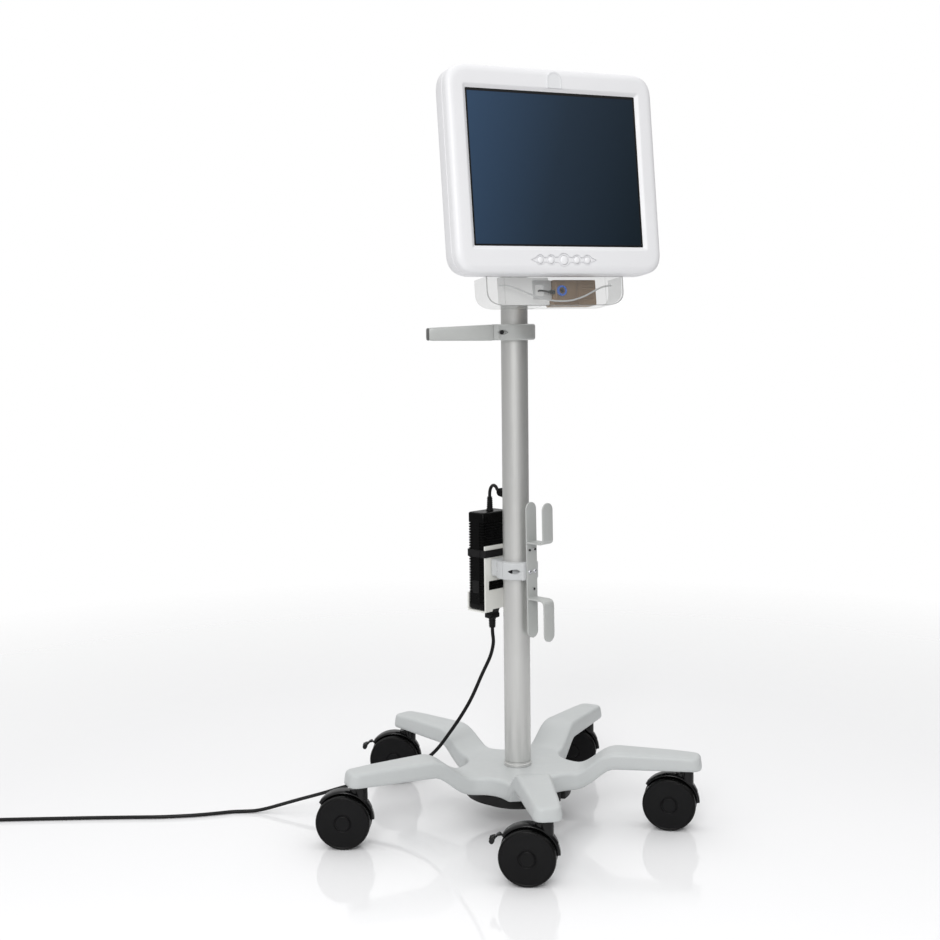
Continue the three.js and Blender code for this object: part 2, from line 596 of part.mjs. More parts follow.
function mainBoard() {
  const board = box(-110, 110, 22, 24, -80, 80);
  const standOffs = [[-100, -70], [100, -70], [-100, 70], [100, 70]].map(([x, z]) => {
    return rod(4, 15 + GAP, 22.5, 8, 'y').translate(x, 0, z);
  });
  return join(board, box(-30, 30, 23, 34, -30, 25), box(50, 95, 23, 31, -60, 50), ...standOffs);
}
piece('main_board', mainBoard(), GREEN, display);
piece('mount_plate', mountPlate(), CREAM, display);

// A plain raised tab over the middle of the screen.
function badgeTab() {
  const corners = [new THREE.Vector2(-11, 141), new THREE.Vector2(18, 141)];
  const points = [...arc(3.5, 156.5, 14.5, 0, 180, 8), ...corners];
  return prism(points, CASE.front - 1.6, CASE.front - GAP, 'y');
}
piece('badge_tab', badgeTab(), WHITE, display);
BUTTONS.forEach(([x, r], i) => {
  piece(`button_${i + 1}`, rod(r, -7.2, 1, 16, 'y').translate(x, 0, BUTTON_Z), WHITE, display);
});

// ---------------------------------------------------------------- clear tray
const TRAY_TOP = CASE.bottom - GAP;
const TRAY_LOW = CASE.bottom - TRAY.deep;
function trayOutline(grow) {
  const w = TRAY.w / 2 + grow;
  const r = TRAY.corner + grow;
  return [
    new THREE.Vector2(w, TRAY_TOP), new THREE.Vector2(-w, TRAY_TOP),
    ...arc(-w + r, TRAY_LOW - grow + r, r, 180, 270, 6), ...arc(w - r, TRAY_LOW - grow + r, r, 270, 360, 6),
  ];
}
function clearTray() {
  const outer = prism(trayOutline(0), TRAY.front, TRAY.back, 'y');
  const hollow = prism(trayOutline(-TRAY.wall), TRAY.front + TRAY.wall, TRAY.back + 5, 'y');
  const open = box(-200, 200, TRAY.front + TRAY.wall, TRAY.back + 5, TRAY_TOP - 5, TRAY_TOP + 5);
  const bar = (x) => box(x - 1.2, x + 1.2, TRAY.front + 1, TRAY.front + 4, TRAY_LOW + 1, TRAY_TOP);
  return join(cut(outer, hollow, open), bar(-100), bar(103));
}
function ioModule() {
  const body = box(-36, 90, 44, 74, TRAY_LOW + 2.8, -188);
  const nose = box(-8, 46, 36, 45, -226, -190);
  return join(body, nose);
}
const JACK = [15, -208.5];
function jackRing() {
  const ring = [[0, 33], [5, 33], [6, 31.5], [8.6, 31.5], [9.6, 33.5], [9.6, 36 - GAP], [0, 36 - GAP]];
  return turned(ring, 20, 'y').translate(JACK[0], 0, JACK[1]);
}
piece('clear_tray', clearTray(), CLEAR, display);
piece('io_module', ioModule(), BROWN, display);
piece('jack_ring', jackRing(), BLUE, display);
const sensorLead = [[-108, 34, -199], [-92, 33, -200], [-74, 32.8, -205], [-52, 32.6, -214],
  [-28, 32.4, -222], [0, 32.2, -227], [30, 32.2, -226.5], [56, 32.4, -220], [78, 32.8, -210.5],
  [96, 33, -203], [116, 33, -199.5]];
piece('sensor_lead', tube(sensorLead, 1.6, 8, 26), WHITE, display);

export default monitorOnStand;
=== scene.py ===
"""A patient display on a five-legged roll stand: its looks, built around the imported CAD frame.

Shapes are written in millimetres in a local frame and become metres when a mesh is made.
"""
import json
import math

import bmesh
import bpy
import numpy as np
from mathutils import Matrix, Vector


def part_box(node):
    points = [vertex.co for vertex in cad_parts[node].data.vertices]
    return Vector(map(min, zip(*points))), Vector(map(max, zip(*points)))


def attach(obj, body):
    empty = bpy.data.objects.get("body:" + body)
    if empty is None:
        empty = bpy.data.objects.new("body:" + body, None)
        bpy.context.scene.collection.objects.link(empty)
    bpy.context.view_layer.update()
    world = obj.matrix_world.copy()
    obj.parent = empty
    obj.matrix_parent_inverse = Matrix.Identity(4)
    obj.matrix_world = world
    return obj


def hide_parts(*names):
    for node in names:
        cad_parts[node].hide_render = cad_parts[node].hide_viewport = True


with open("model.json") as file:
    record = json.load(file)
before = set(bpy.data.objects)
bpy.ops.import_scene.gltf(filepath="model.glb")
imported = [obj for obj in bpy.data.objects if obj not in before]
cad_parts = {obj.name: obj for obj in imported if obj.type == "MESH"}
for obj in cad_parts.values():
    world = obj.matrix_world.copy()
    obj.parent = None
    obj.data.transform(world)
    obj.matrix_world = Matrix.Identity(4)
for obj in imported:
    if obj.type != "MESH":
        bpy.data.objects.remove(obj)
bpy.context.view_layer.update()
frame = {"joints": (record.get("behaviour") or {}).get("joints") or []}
MM = 0.001


# ------------------------------------------------------------------ places, all taken from the frame
def middle(node):
    """The centre of a CAD node's box, in millimetres."""
    low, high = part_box(node)
    return (low + high) / 2 / MM


def top_of(node):
    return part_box(node)[1].z / MM


def bottom_of(node):
    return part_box(node)[0].z / MM


def joint(name):
    return next(j for j in frame["joints"] if j["name"] == name)


def turn(axis, degrees):
    return Matrix.Rotation(math.radians(degrees), 4, axis)


COLUMN_AXIS = middle("ballast_plate")
STAND = Matrix.Translation((COLUMN_AXIS.x, COLUMN_AXIS.y, 0))
ARM_TURN = 20                                  # where the cable hook faces, about the column
ARM = STAND @ turn("Z", ARM_TURN)
SCREEN_LEAN = 6.95
GLASS_HALF_DEPTH = 1.2
DISPLAY_TURN = turn("X", -SCREEN_LEAN)
GLASS_FRONT = Matrix.Translation((0, -GLASS_HALF_DEPTH, 0))
DISPLAY = Matrix.Translation(middle("screen_glass")) @ DISPLAY_TURN @ GLASS_FRONT
ALONG_X = Matrix(((0, 0, 1, 0), (1, 0, 0, 0), (0, 1, 0, 0), (0, 0, 0, 1)))
ALONG_Y = Matrix(((1, 0, 0, 0), (0, 0, 1, 0), (0, 1, 0, 0), (0, 0, 0, 1)))
UPRIGHT = Matrix.Identity(4)

LEG_NAMES = ("front", "right", "rear_right", "rear_left", "left")
LEGS = len(LEG_NAMES)
LEG_TURN = [-108 + 360 / LEGS * k for k in range(LEGS)]
BRAKED = ("front", "rear_left")


# ------------------------------------------------------------------ camera and cord
# About 2.7 m away, to the left, a little above the middle; the angles are heading, pitch and roll.
CAMERA_PLACE = (-1204.7, -2413.6, 974.0)
CAMERA_ANGLES = (24.685, -6.08, -0.674)
CAMERA_LENS = 54.47


def make_camera():
    heading, pitch, roll = (math.radians(a) for a in CAMERA_ANGLES)
    flat = math.cos(pitch)
    forward = Vector((math.sin(heading) * flat, math.cos(heading) * flat, math.sin(pitch)))
    level = Vector((math.cos(heading), -math.sin(heading), 0))
    above = level.cross(forward)
    right = math.cos(roll) * level + math.sin(roll) * above
    up = math.cos(roll) * above - math.sin(roll) * level
    data = bpy.data.cameras.new("camera")
    data.sensor_width = 36
    data.lens = CAMERA_LENS
    data.clip_end = 100
    camera = bpy.data.objects.new("camera", data)
    place = (STAND @ Vector(CAMERA_PLACE)) * MM
    camera.matrix_world = Matrix.Translation(place) @ Matrix((right, up, -forward)).transposed().to_4x4()
    bpy.context.scene.collection.objects.link(camera)
    bpy.context.scene.camera = camera


CORD_ROUTE = (
    (-20.2, 67.1, 369.7), (-19.6, 66.9, 356), (-18.4, 66.4, 342), (-23, 68.5, 316), (-39.4, 75.8, 276),
    (-62.9, 86.4, 220), (-95.5, 101, 164), (-131.7, 117.3, 115), (-174, 136.2, 86), (-228.5, 160.6, 66),
    (-288.6, 187.5, 52), (-333.9, 207.8, 38), (-372.8, 225.2, 27), (-406.2, 240.2, 17), (-433.3, 252.4, 9),
    (-454, 262.5, 4.6), (-475, 272, 3.7), (-496, 279.5, 3.7), (-530, 285.5, 3.7), (-566, 293, 3.7),
    (-600, 303.5, 3.7), (-633, 315.5, 3.7), (-679, 336.5, 3.7), (-758, 372, 3.7), (-839, 407, 3.7),
    (-920, 441.5, 3.7), (-987, 469.6, 3.7),
)
CORD_R = 3.5
COIL_RADII = (34.5, 48.5)
COIL_TURNS = 5 + 60 / 360


def between(a, b, t_a, t_b, t):
    return a * (t_b - t) / (t_b - t_a) + b * (t - t_a) / (t_b - t_a)


def through(points, spacing):
    """A smooth curve through the points: a centripetal Catmull-Rom spline, sampled at about the spacing."""
    points = [Vector(p) for p in points]
    points = [2 * points[0] - points[1], *points, 2 * points[-1] - points[-2]]
    knots = [0]
    for a, b in zip(points, points[1:]):
        knots.append(knots[-1] + math.sqrt((b - a).length))
    curve = []
    for i in range(1, len(points) - 2):
        p = points[i - 1:i + 3]
        k = knots[i - 1:i + 3]
        steps = max(2, round((p[2] - p[1]).length / spacing))
        for s in range(steps):
            t = k[1] + (k[2] - k[1]) * s / steps
            a = [between(p[j], p[j + 1], k[j], k[j + 1], t) for j in range(3)]
            b = [between(a[j], a[j + 1], k[j], k[j + 2], t) for j in range(2)]
            curve.append(between(b[0], b[1], k[1], k[2], t))
    curve.append(points[-2])
    return curve


def coil_path(end, heading):
    """From the end of the straight cord: in over two layers of turns, then out towards the plug."""
    inner, outer = COIL_RADII
    pitch = 2 * CORD_R
    low, high = end.z, end.z + pitch
    side = Vector((-heading.y, heading.x, 0))
    reach = math.sqrt((outer + CORD_R) ** 2 - (outer - CORD_R) ** 2) + 0.3
    tangent = end + heading * reach
    centre = tangent - side * outer
    in_turns = (outer - inner) / pitch
    path = []
    steps = round(COIL_TURNS * 36)
    for i in range(1, steps + 1):
        turns = COIL_TURNS * i / steps
        climb = min(max((turns - in_turns) / 0.5, 0), 1)
        spread = turns if turns < in_turns else in_turns - max(turns - in_turns - 0.5, 0)
        radius = outer - pitch * max(spread, 0)
        angle = math.atan2(side.y, side.x) - 2 * math.pi * turns
        z = low + (high - low) * climb * climb * (3 - 2 * climb)
        path.append(Vector((centre.x + radius * math.cos(angle), centre.y + radius * math.sin(angle), z)))
    leaving = math.atan2(heading.y, heading.x) - 2 * math.pi * COIL_TURNS
    exit_heading = Vector((math.cos(leaving), math.sin(leaving), 0))
    for share in (0.35, 0.7, 1):
        path.append(path[steps - 1] + exit_heading * (reach + 0.4) * share)
    return [tangent, *path]


# ------------------------------------------------------------------ outlines and mesh parts
def arc(cx, cy, r, start, end, steps):
    angles = [math.radians(start + (end - start) * i / steps) for i in range(steps + 1)]
    return [(cx + r * math.cos(a), cy + r * math.sin(a)) for a in angles]


def ring(r, steps=48, cx=0, cy=0):
    return arc(cx, cy, r, 0, 360 - 360 / steps, steps - 1)


def rounded(points, radius, steps=5, closed=True):
    """The outline with each corner swapped for a curve that starts that far back from it."""
    out = []
    count = len(points)
    for i, corner in enumerate(points):
        at_end = not closed and i in (0, count - 1)
        r = radius[i] if isinstance(radius, (list, tuple)) else radius
        if at_end or not r:
            out.append(tuple(corner))
            continue
        here = Vector(corner)
        before = Vector(points[i - 1]) - here
        after = Vector(points[(i + 1) % count]) - here
        a = here + before.normalized() * min(r, before.length * 0.49)
        b = here + after.normalized() * min(r, after.length * 0.49)
        for s in range(steps + 1):
            t = s / steps
            out.append(tuple((1 - t) ** 2 * a + 2 * t * (1 - t) * here + t * t * b))
    return out


def rectangle(x0, x1, y0, y1, radius=0, steps=5):
    corners = [(x0, y0), (x1, y0), (x1, y1), (x0, y1)]
    return rounded(corners, radius, steps) if radius else corners


def loft(rings, caps=True, closed=False):
    """A skin over rings of equal length, each a list of 3-D points."""
    count = len(rings[0])
    verts = [tuple(p) for points in rings for p in points]
    faces = []
    for k in range(len(rings) if closed else len(rings) - 1):
        here = k * count
        there = (k + 1) % len(rings) * count
        for i in range(count):
            j = (i + 1) % count
            faces.append((here + i, here + j, there + j, there + i))
    if caps and not closed:
        faces.append(tuple(range(count)))
        faces.append(tuple(range((len(rings) - 1) * count, len(rings) * count)))
    return verts, faces


def extruded(outline, low, high, axes=UPRIGHT):
    verts, faces = loft([[(x, y, low) for x, y in outline], [(x, y, high) for x, y in outline]])
    return [axes @ Vector(v) for v in verts], faces


def drawn_in(outline, distance):
    """The outline moved inwards by a distance, whichever way round it runs."""
    count = len(outline)
    area = sum(outline[i - 1][0] * outline[i][1] - outline[i][0] * outline[i - 1][1] for i in range(count))
    way = distance if area > 0 else -distance
    moved_points = []
    for i in range(count):
        along = (Vector(outline[(i + 1) % count]) - Vector(outline[i - 1])).normalized()
        moved_points.append((outline[i][0] - along.y * way, outline[i][1] + along.x * way))
    return moved_points


def pillow(outline, low, high, radius, steps=5):
    """An upright block with its top and bottom edges rounded."""
    rows = [(radius * (1 - math.sin(a)), radius * (1 - math.cos(a)))
            for a in (math.pi / 2 * i / steps for i in range(steps + 1))]
    rings = [[(x, y, low + up) for x, y in drawn_in(outline, inset)] for inset, up in rows]
    rings += [[(x, y, high - up) for x, y in drawn_in(outline, inset)] for inset, up in reversed(rows)]
    return loft(rings)


def turned(profile, steps=64, axes=UPRIGHT, at=(0, 0, 0)):
    """A profile of (radius, height) points turned about an axis through a point."""
    closed = profile[0] == profile[-1]
    rows = profile[:-1] if closed else profile
    circle = [(math.cos(2 * math.pi * i / steps), math.sin(2 * math.pi * i / steps)) for i in range(steps)]
    verts, faces = loft([[(r * c, r * s, h) for c, s in circle] for r, h in rows], caps=False, closed=closed)
    return [axes @ Vector(v) + Vector(at) for v in verts], faces


def disc(r, low, high, radius=0, steps=48, axes=UPRIGHT, at=(0, 0, 0)):
    profile = rounded([(0, low), (r, low), (r, high), (0, high)], radius, 3, closed=False) if radius else [
        (0, low), (r, low), (r, high), (0, high)]
    return turned(profile, steps, axes, at)


def slab(sides, y0, y1):
    """A plate that faces along Y, from its (x0, x1, z0, z1, corner radius, corner steps)."""
    return extruded(rectangle(*sides), y0, y1, ALONG_Y)


def at_depth(outline, y):
    return [(x, y, z) for x, z in outline]


def hoop(a, b, low, high, axes=ALONG_Y):
    """A closed band between two outlines of as many points, from one depth to another."""
    levels = ((a, low), (b, low), (b, high), (a, high))
    verts, faces = loft([[(x, y, z) for x, y in outline] for outline, z in levels], caps=False, closed=True)
    return [axes @ Vector(v) for v in verts], faces


def block(x0, x1, y0, y1, z0, z1):
    return extruded(rectangle(x0, x1, y0, y1), z0, z1)


def merged(*parts):
    verts = []
    faces = []
    for part_verts, part_faces in parts:
        start = len(verts)
        verts += list(part_verts)
        faces += [tuple(i + start for i in face) for face in part_faces]
    return verts, faces


def moved(part, matrix):
    return [matrix @ Vector(v) for v in part[0]], part[1]


def swept(path, section, normal=None):
    """A section of (side, up) points carried along a path of 3-D points."""
    path = [Vector(p) for p in path]
    rings = []
    up = Vector(normal) if normal else None
    for i, p in enumerate(path):
        ahead = (path[min(i + 1, len(path) - 1)] - path[max(i - 1, 0)]).normalized()
        if up is None:
            up = Vector((0, 0, 1)) if abs(ahead.z) < 0.9 else Vector((1, 0, 0))
        side = ahead.cross(up).normalized()
        up = side.cross(ahead)
        points = section(i / (len(path) - 1)) if callable(section) else section
        rings.append([p + side * a + up * b for a, b in points])
    return loft(rings)


# ------------------------------------------------------------------ pieces
SHARP = math.radians(38)


def new_object(name, part, place=UPRIGHT, *finishes):
    """A mesh object from a part in millimetres, with clean outward faces and sharp edges kept sharp."""
    verts, faces = part
    mesh = bpy.data.meshes.new(name)
    mesh.from_pydata([tuple((place @ Vector(v)) * MM) for v in verts], [], faces)
    work = bmesh.new()
    work.from_mesh(mesh)
    bmesh.ops.remove_doubles(work, verts=work.verts, dist=1e-6)
    bmesh.ops.dissolve_degenerate(work, edges=work.edges, dist=1e-7)
    bmesh.ops.recalc_face_normals(work, faces=work.faces)
    work.to_mesh(mesh)
    work.free()
    piece = bpy.data.objects.new(name, mesh)
    bpy.context.scene.collection.objects.link(piece)
    for finish in finishes:
        mesh.materials.append(MATERIALS[finish])
    shade(mesh)
    return piece


def shade(mesh):
    mesh.shade_smooth()
    mesh.set_sharp_from_angle(angle=SHARP)


def bake_modifiers(piece):
    """Swaps a piece's mesh for the result of its modifiers."""
    graph = bpy.context.evaluated_depsgraph_get()
    result = bpy.data.meshes.new_from_object(piece.evaluated_get(graph))
    old = piece.data
    piece.modifiers.clear()
    piece.data = result
    bpy.data.meshes.remove(old)
    return piece


def carve(piece, part, place=UPRIGHT):
    """Cuts a part out of a piece."""
    cutter = new_object("cutter", part, place)
    cut = piece.modifiers.new("cut", "BOOLEAN")
    cut.object = cutter
    cut.operation = "DIFFERENCE"
    cut.solver = "EXACT"
    bake_modifiers(piece)
    bpy.data.objects.remove(cutter)
    shade(piece.data)
    return piece


def soften(piece, width, segments=3, angle=35):
    """Rounds the sharp edges and evens the shading beside them."""
    bevel = piece.modifiers.new("bevel", "BEVEL")
    bevel.width = width * MM
    bevel.segments = segments
    bevel.limit_method = "ANGLE"
    bevel.angle_limit = math.radians(angle)
    bake_modifiers(piece)
    piece.data.shade_smooth()
    piece.data.set_sharp_from_angle(angle=math.radians(50))
    even = piece.modifiers.new("even", "WEIGHTED_NORMAL")
    even.keep_sharp = True
    even.weight = 60
    return piece


def settle(piece, body, slot, *nodes):
    """Fixes a finished piece to a body and hides the CAD nodes that it stands for."""
    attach(piece, body)
    if nodes:
        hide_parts(*nodes)
    return piece


def add(name, part, place, finish, body, slot, *nodes, bevel=None):
    """Makes a piece that needs no cutting, rounds it where asked, and settles it."""
    piece = new_object(name, part, place, finish)
    if bevel:
        soften(piece, *bevel)
    return settle(piece, body, slot, *nodes)


def paint_faces(piece, index, inside):
    """Gives the faces whose centre passes a test the material of that number."""
    for face in piece.data.polygons:
        if inside(face.center / MM):
            face.material_index = index
    return piece


# ------------------------------------------------------------------ materials
def linear(*rgb):
    """A colour given as 0-255 screen values."""
    parts = [c / 255 for c in rgb]
    return tuple(c / 12.92 if c < 0.04045 else ((c + 0.055) / 1.055) ** 2.4 for c in parts) + (1,)


class Surface:
    """A procedural material under construction."""

    def __init__(self, name):
        self.material = bpy.data.materials.new(name)
        self.material.use_nodes = True
        self.tree = self.material.node_tree
        self.shader = self.tree.nodes["Principled BSDF"]
        self.place = self.tree.nodes.new("ShaderNodeTexCoord").outputs["Object"]

    def node(self, kind, **settings):
        node = self.tree.nodes.new(kind)
        for key, value in settings.items():
            setattr(node, key, value)
        return node

    def link(self, source, target):
        self.tree.links.new(source, target)

    def stretched(self, x, y, z):
        mapping = self.node("ShaderNodeMapping")
        mapping.inputs["Scale"].default_value = (x, y, z)
        self.link(self.place, mapping.inputs["Vector"])
        return mapping.outputs["Vector"]

    def noise(self, scale, detail=3, roughness=0.5, place=None):
        noise = self.node("ShaderNodeTexNoise")
        noise.inputs["Scale"].default_value = scale
        noise.inputs["Detail"].default_value = detail
        noise.inputs["Roughness"].default_value = roughness
        self.link(place or self.place, noise.inputs["Vector"])
        return noise.outputs["Fac"]

    def spread(self, value, low, high, start=0.3, end=0.7):
        """The value's middle range, stretched to low..high."""
        spread = self.node("ShaderNodeMapRange")
        spread.inputs["From Min"].default_value = start
        spread.inputs["From Max"].default_value = end
        spread.inputs["To Min"].default_value = low
        spread.inputs["To Max"].default_value = high
        self.link(value, spread.inputs["Value"])
        return spread.outputs["Result"]

    def mixed(self, share, first, second):
        mix = self.node("ShaderNodeMix", data_type="RGBA")
        self.link(share, mix.inputs["Factor"])
        for socket, colour in ((mix.inputs[6], first), (mix.inputs[7], second)):
            if isinstance(colour, tuple):
                socket.default_value = colour
            else:
                self.link(colour, socket)
        return mix.outputs[2]

    def colour(self, source):
        if isinstance(source, tuple):
            self.shader.inputs["Base Color"].default_value = source
        else:
            self.link(source, self.shader.inputs["Base Color"])

    def bump(self, height, strength, distance):
        bump = self.node("ShaderNodeBump")
        bump.inputs["Strength"].default_value = strength
        bump.inputs["Distance"].default_value = distance * MM
        self.link(height, bump.inputs["Height"])
        self.link(bump.outputs["Normal"], self.shader.inputs["Normal"])

    def set(self, **values):
        names = {"metallic": "Metallic", "coat": "Coat Weight", "coat_roughness": "Coat Roughness",
                 "specular": "Specular IOR Level", "roughness": "Roughness", "anisotropic": "Anisotropic",
                 "alpha": "Alpha"}
        for key, value in values.items():
            self.shader.inputs[names[key]].default_value = value
        return self


def shifted(colour, share):
    return tuple(min(c * share, 1) for c in colour[:3]) + (1,)


def textured(name, rgb, rough, grain, depth, mottle=0.03, **settings):
    """A moulded or painted surface: a fine grain, slow patches of tone and patches of gloss."""
    surface = Surface(name).set(**settings)
    colour = linear(*rgb)
    patches = surface.spread(surface.noise(9, 4, 0.6), 0, 1)
    surface.colour(surface.mixed(patches, shifted(colour, 1 - mottle), shifted(colour, 1 + mottle)))
    gloss = surface.noise(55, 3)
    surface.link(surface.spread(gloss, rough[0], rough[1]), surface.shader.inputs["Roughness"])
    surface.bump(surface.noise(grain, 2), 0.35, depth)
    return surface.material


def brushed_tube():
    """Satin anodised tube, drawn along its length."""
    surface = Surface("satin_tube").set(metallic=0.82, anisotropic=0.25)
    lines = surface.noise(1, 4, 0.6, surface.stretched(2600, 2600, 14))
    clouds = surface.noise(14, 3)
    tone = surface.mixed(surface.spread(lines, 0, 1), linear(208, 208, 206), linear(219, 219, 217))
    surface.colour(surface.mixed(surface.spread(clouds, 0, 0.25), tone, linear(200, 200, 197)))
    surface.link(surface.spread(lines, 0.36, 0.46), surface.shader.inputs["Roughness"])
    surface.bump(lines, 0.12, 0.02)
    return surface.material


def screen_surface():
    """A switched-off display behind anti-glare glass: dark of its own, under a painted reflection, a deep
    blue that fades to black at the lower right.
    """
    surface = Surface("screen_off_painted_reflection").set(roughness=0.22, specular=0.22)
    split = surface.node("ShaderNodeSeparateXYZ")
    surface.link(surface.place, split.inputs["Vector"])
    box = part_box("screen_glass")
    across = surface.spread(split.outputs["X"], 0, 0.8, box[0].x, box[1].x)
    down = surface.spread(split.outputs["Z"], 0.2, 0, box[0].z, box[1].z)
    add = surface.node("ShaderNodeMath", operation="ADD")
    surface.link(across, add.inputs[0])
    surface.link(down, add.inputs[1])
    # The painted reflection: bluish at the upper left, dark at the lower right.
    ramp = surface.node("ShaderNodeValToRGB")
    ramp.color_ramp.elements[0].color = linear(52, 74, 100)
    ramp.color_ramp.elements[1].color = linear(18, 29, 37)
    middle_stop = ramp.color_ramp.elements.new(0.5)
    middle_stop.color = linear(35, 49, 64)
    surface.link(add.outputs["Value"], ramp.inputs["Fac"])
    surface.colour(ramp.outputs["Color"])
    surface.bump(surface.noise(2500, 1), 0.04, 0.01)
    return surface.material


def clear_plastic(name, rgb, rough, alpha):
    """Clear moulding, a little milky: most of what is behind shows through."""
    surface = Surface(name).set(roughness=rough, alpha=alpha, specular=0.7)
    tint = linear(*rgb)
    clouds = surface.noise(30, 3)
    surface.colour(surface.mixed(surface.spread(clouds, 0, 1), shifted(tint, 0.97), tint))
    surface.bump(surface.noise(60, 3), 0.15, 0.3)
    return surface.material


def painted_glow(material):
    """Adds a faint painted glow that brightens the panel in the shade under the head, in place of the light
    that would come through from behind.
    """
    shader = material.node_tree.nodes["Principled BSDF"]
    shader.inputs["Emission Color"].default_value = (1, 1, 1, 1)
    shader.inputs["Emission Strength"].default_value = 0.16
    return material


def make_materials():
    return {
        "cast": textured("cast_paint", (190, 193, 193), (0.36, 0.48), 900, 0.05, 0.02, coat=0.1,
                         coat_roughness=0.3),
        "iron": textured("ballast_enamel", (17, 17, 17), (0.4, 0.6), 350, 0.12, 0.2, specular=0.25),
        "tube": brushed_tube(),
        "silver": textured("silver_powder", (186, 188, 186), (0.42, 0.52), 1600, 0.05, 0.02, metallic=0.2),
        "cream": textured("cream_powder", (226, 226, 221), (0.4, 0.5), 1500, 0.05, 0.02),
        "white": textured("white_moulding", (236, 236, 238), (0.34, 0.44), 1900, 0.04, 0.008),
        "button": textured("button_cap", (240, 240, 242), (0.3, 0.4), 1900, 0.03, 0.01),
        "tab": textured("blank_tab", (231, 232, 234), (0.2, 0.3), 1500, 0.02, 0.01, coat=0.3),
        "border": textured("printed_border", (16, 16, 18), (0.12, 0.2), 900, 0.01, 0.1),
        "black": textured("black_moulding", (7, 7, 7), (0.22, 0.36), 1300, 0.06, 0.2, specular=0.08),
        "cap": textured("cap_moulding", (92, 93, 92), (0.4, 0.5), 1300, 0.04, 0.05),
        "clamp": textured("clamp_paint", (197, 199, 200), (0.38, 0.48), 1400, 0.05, 0.02),
        "hood": textured("caster_nylon", (8, 8, 9), (0.14, 0.24), 900, 0.04, 0.2, specular=0.3),
        "tyre": textured("tyre_tread", (7, 7, 7), (0.22, 0.36), 700, 0.08, 0.2, specular=0.16),
        "disc": textured("wheel_disc", (12, 12, 13), (0.32, 0.42), 1200, 0.05, 0.15, specular=0.15),
        "jacket": textured("cord_jacket", (8, 8, 9), (0.3, 0.44), 800, 0.05, 0.15, specular=0.25),
        "dark_steel": textured("dark_steel", (60, 60, 62), (0.25, 0.4), 700, 0.02, 0.1, metallic=1.0),
        "steel": textured("bright_steel", (205, 206, 210), (0.16, 0.28), 700, 0.02, 0.04, metallic=1.0),
        "bronze": textured("bronze_moulding", (158, 130, 100), (0.3, 0.45), 800, 0.04, 0.06, metallic=0.3),
        "blue": textured("blue_ring", (30, 110, 225), (0.2, 0.32), 900, 0.02, 0.04, coat=0.4),
        "gold": textured("gilt_contact", (214, 150, 60), (0.2, 0.3), 900, 0.02, 0.05, metallic=1.0),
        "board": textured("solder_mask", (24, 92, 50), (0.3, 0.45), 500, 0.05, 0.1),
        "panel": textured("panel_frame", (60, 62, 66), (0.35, 0.5), 600, 0.03, 0.06, metallic=0.6),
        "screen": screen_surface(),
        "clear": clear_plastic("clear_moulding", (150, 152, 151), 0.1, 0.17),
        # The frosted panel's lightened base and its glow are painted light against the shade under the head.
        "frosted": painted_glow(clear_plastic("frosted_panel", (247, 247, 246), 0.5, 0.9)),
        # A darker, more opaque clear: painted edge shade for the tray's rim.
        "clear_edge_painted_shade": clear_plastic("clear_rim_painted_edge_shade", (140, 142, 141), 0.15, 0.34),
        "strap": textured("elastic_webbing", (16, 16, 17), (0.6, 0.8), 1400, 0.12, 0.15, specular=0.25),
        "lead": textured("white_lead", (225, 226, 226), (0.35, 0.5), 900, 0.04, 0.02),
    }


MATERIALS = {}


# ------------------------------------------------------------------ star base
LEG_ROOT, LEG_END = 38, 26.5
LEG_TIP, LEG_CORNER = 354, 18
FILLET = 55
ACROSS = 8
# From the underside up: distance in from the outline, share of the height, and millimetres above that.
EDGE = ((5, 0, 0), (1.6, 0, 0.9), (0, 0, 3.4), (0.4, 0.35, 0), (1.7, 1, -8.4), (2.3, 1, -5.2),
        (3.6, 1, -2.6), (5.6, 1, -0.9), (7.6, 1, -0.2), (10, 1, 0))


def bezier(a, b, c, d, steps=24):
    out = []
    for i in range(steps + 1):
        t = i / steps
        weights = ((1 - t) ** 3, 3 * t * (1 - t) ** 2, 3 * t * t * (1 - t), t ** 3)
        out.append(tuple(sum(w * p[k] for w, p in zip(weights, (a, b, c, d))) for k in (0, 1)))
    return out


LEG_TOP = [(0, 109.6), *bezier((112, 109.6), (142, 109.6), (158, 149), (195, 149)), (300, 146.5), (360, 143)]
LEG_UNDER = [(0, 75), *bezier((108, 75), (147, 75), (166, 117.5), (190, 117.5)), (360, 117.5)]


def height(profile, x):
    return float(np.interp(x, [p[0] for p in profile], [p[1] for p in profile]))


def leg_side():
    """One side of a leg from the valley to the tip, as (point, inward direction) pairs."""
    half = math.pi / LEGS
    reach = (LEG_ROOT + FILLET) / math.sin(half)
    centre = (reach * math.cos(half), -reach * math.sin(half))
    pairs = []
    for x, y in arc(*centre, FILLET, 180 - 180 / LEGS, 90, 9):
        pairs.append((Vector((x, y)), Vector((x - centre[0], y - centre[1])) / FILLET))
    start = Vector((centre[0], -LEG_ROOT))
    end = Vector((LEG_TIP - LEG_CORNER, -LEG_END))
    along = (end - start).normalized()
    inward = Vector((-along.y, along.x))
    for i in range(1, 20):
        share = (i / 19) ** 1.25
        pairs.append((start.lerp(end, share), inward))
    corner = (LEG_TIP - LEG_CORNER, -LEG_END + LEG_CORNER)
    for x, y in arc(*corner, LEG_CORNER, -84, 0, 8):
        pairs.append((Vector((x, y)), (Vector(corner) - Vector((x, y))) / LEG_CORNER))
    return pairs


def edge_height(x, share, lift):
    under, top = height(LEG_UNDER, x), height(LEG_TOP, x)
    return under + (top - under) * share + lift


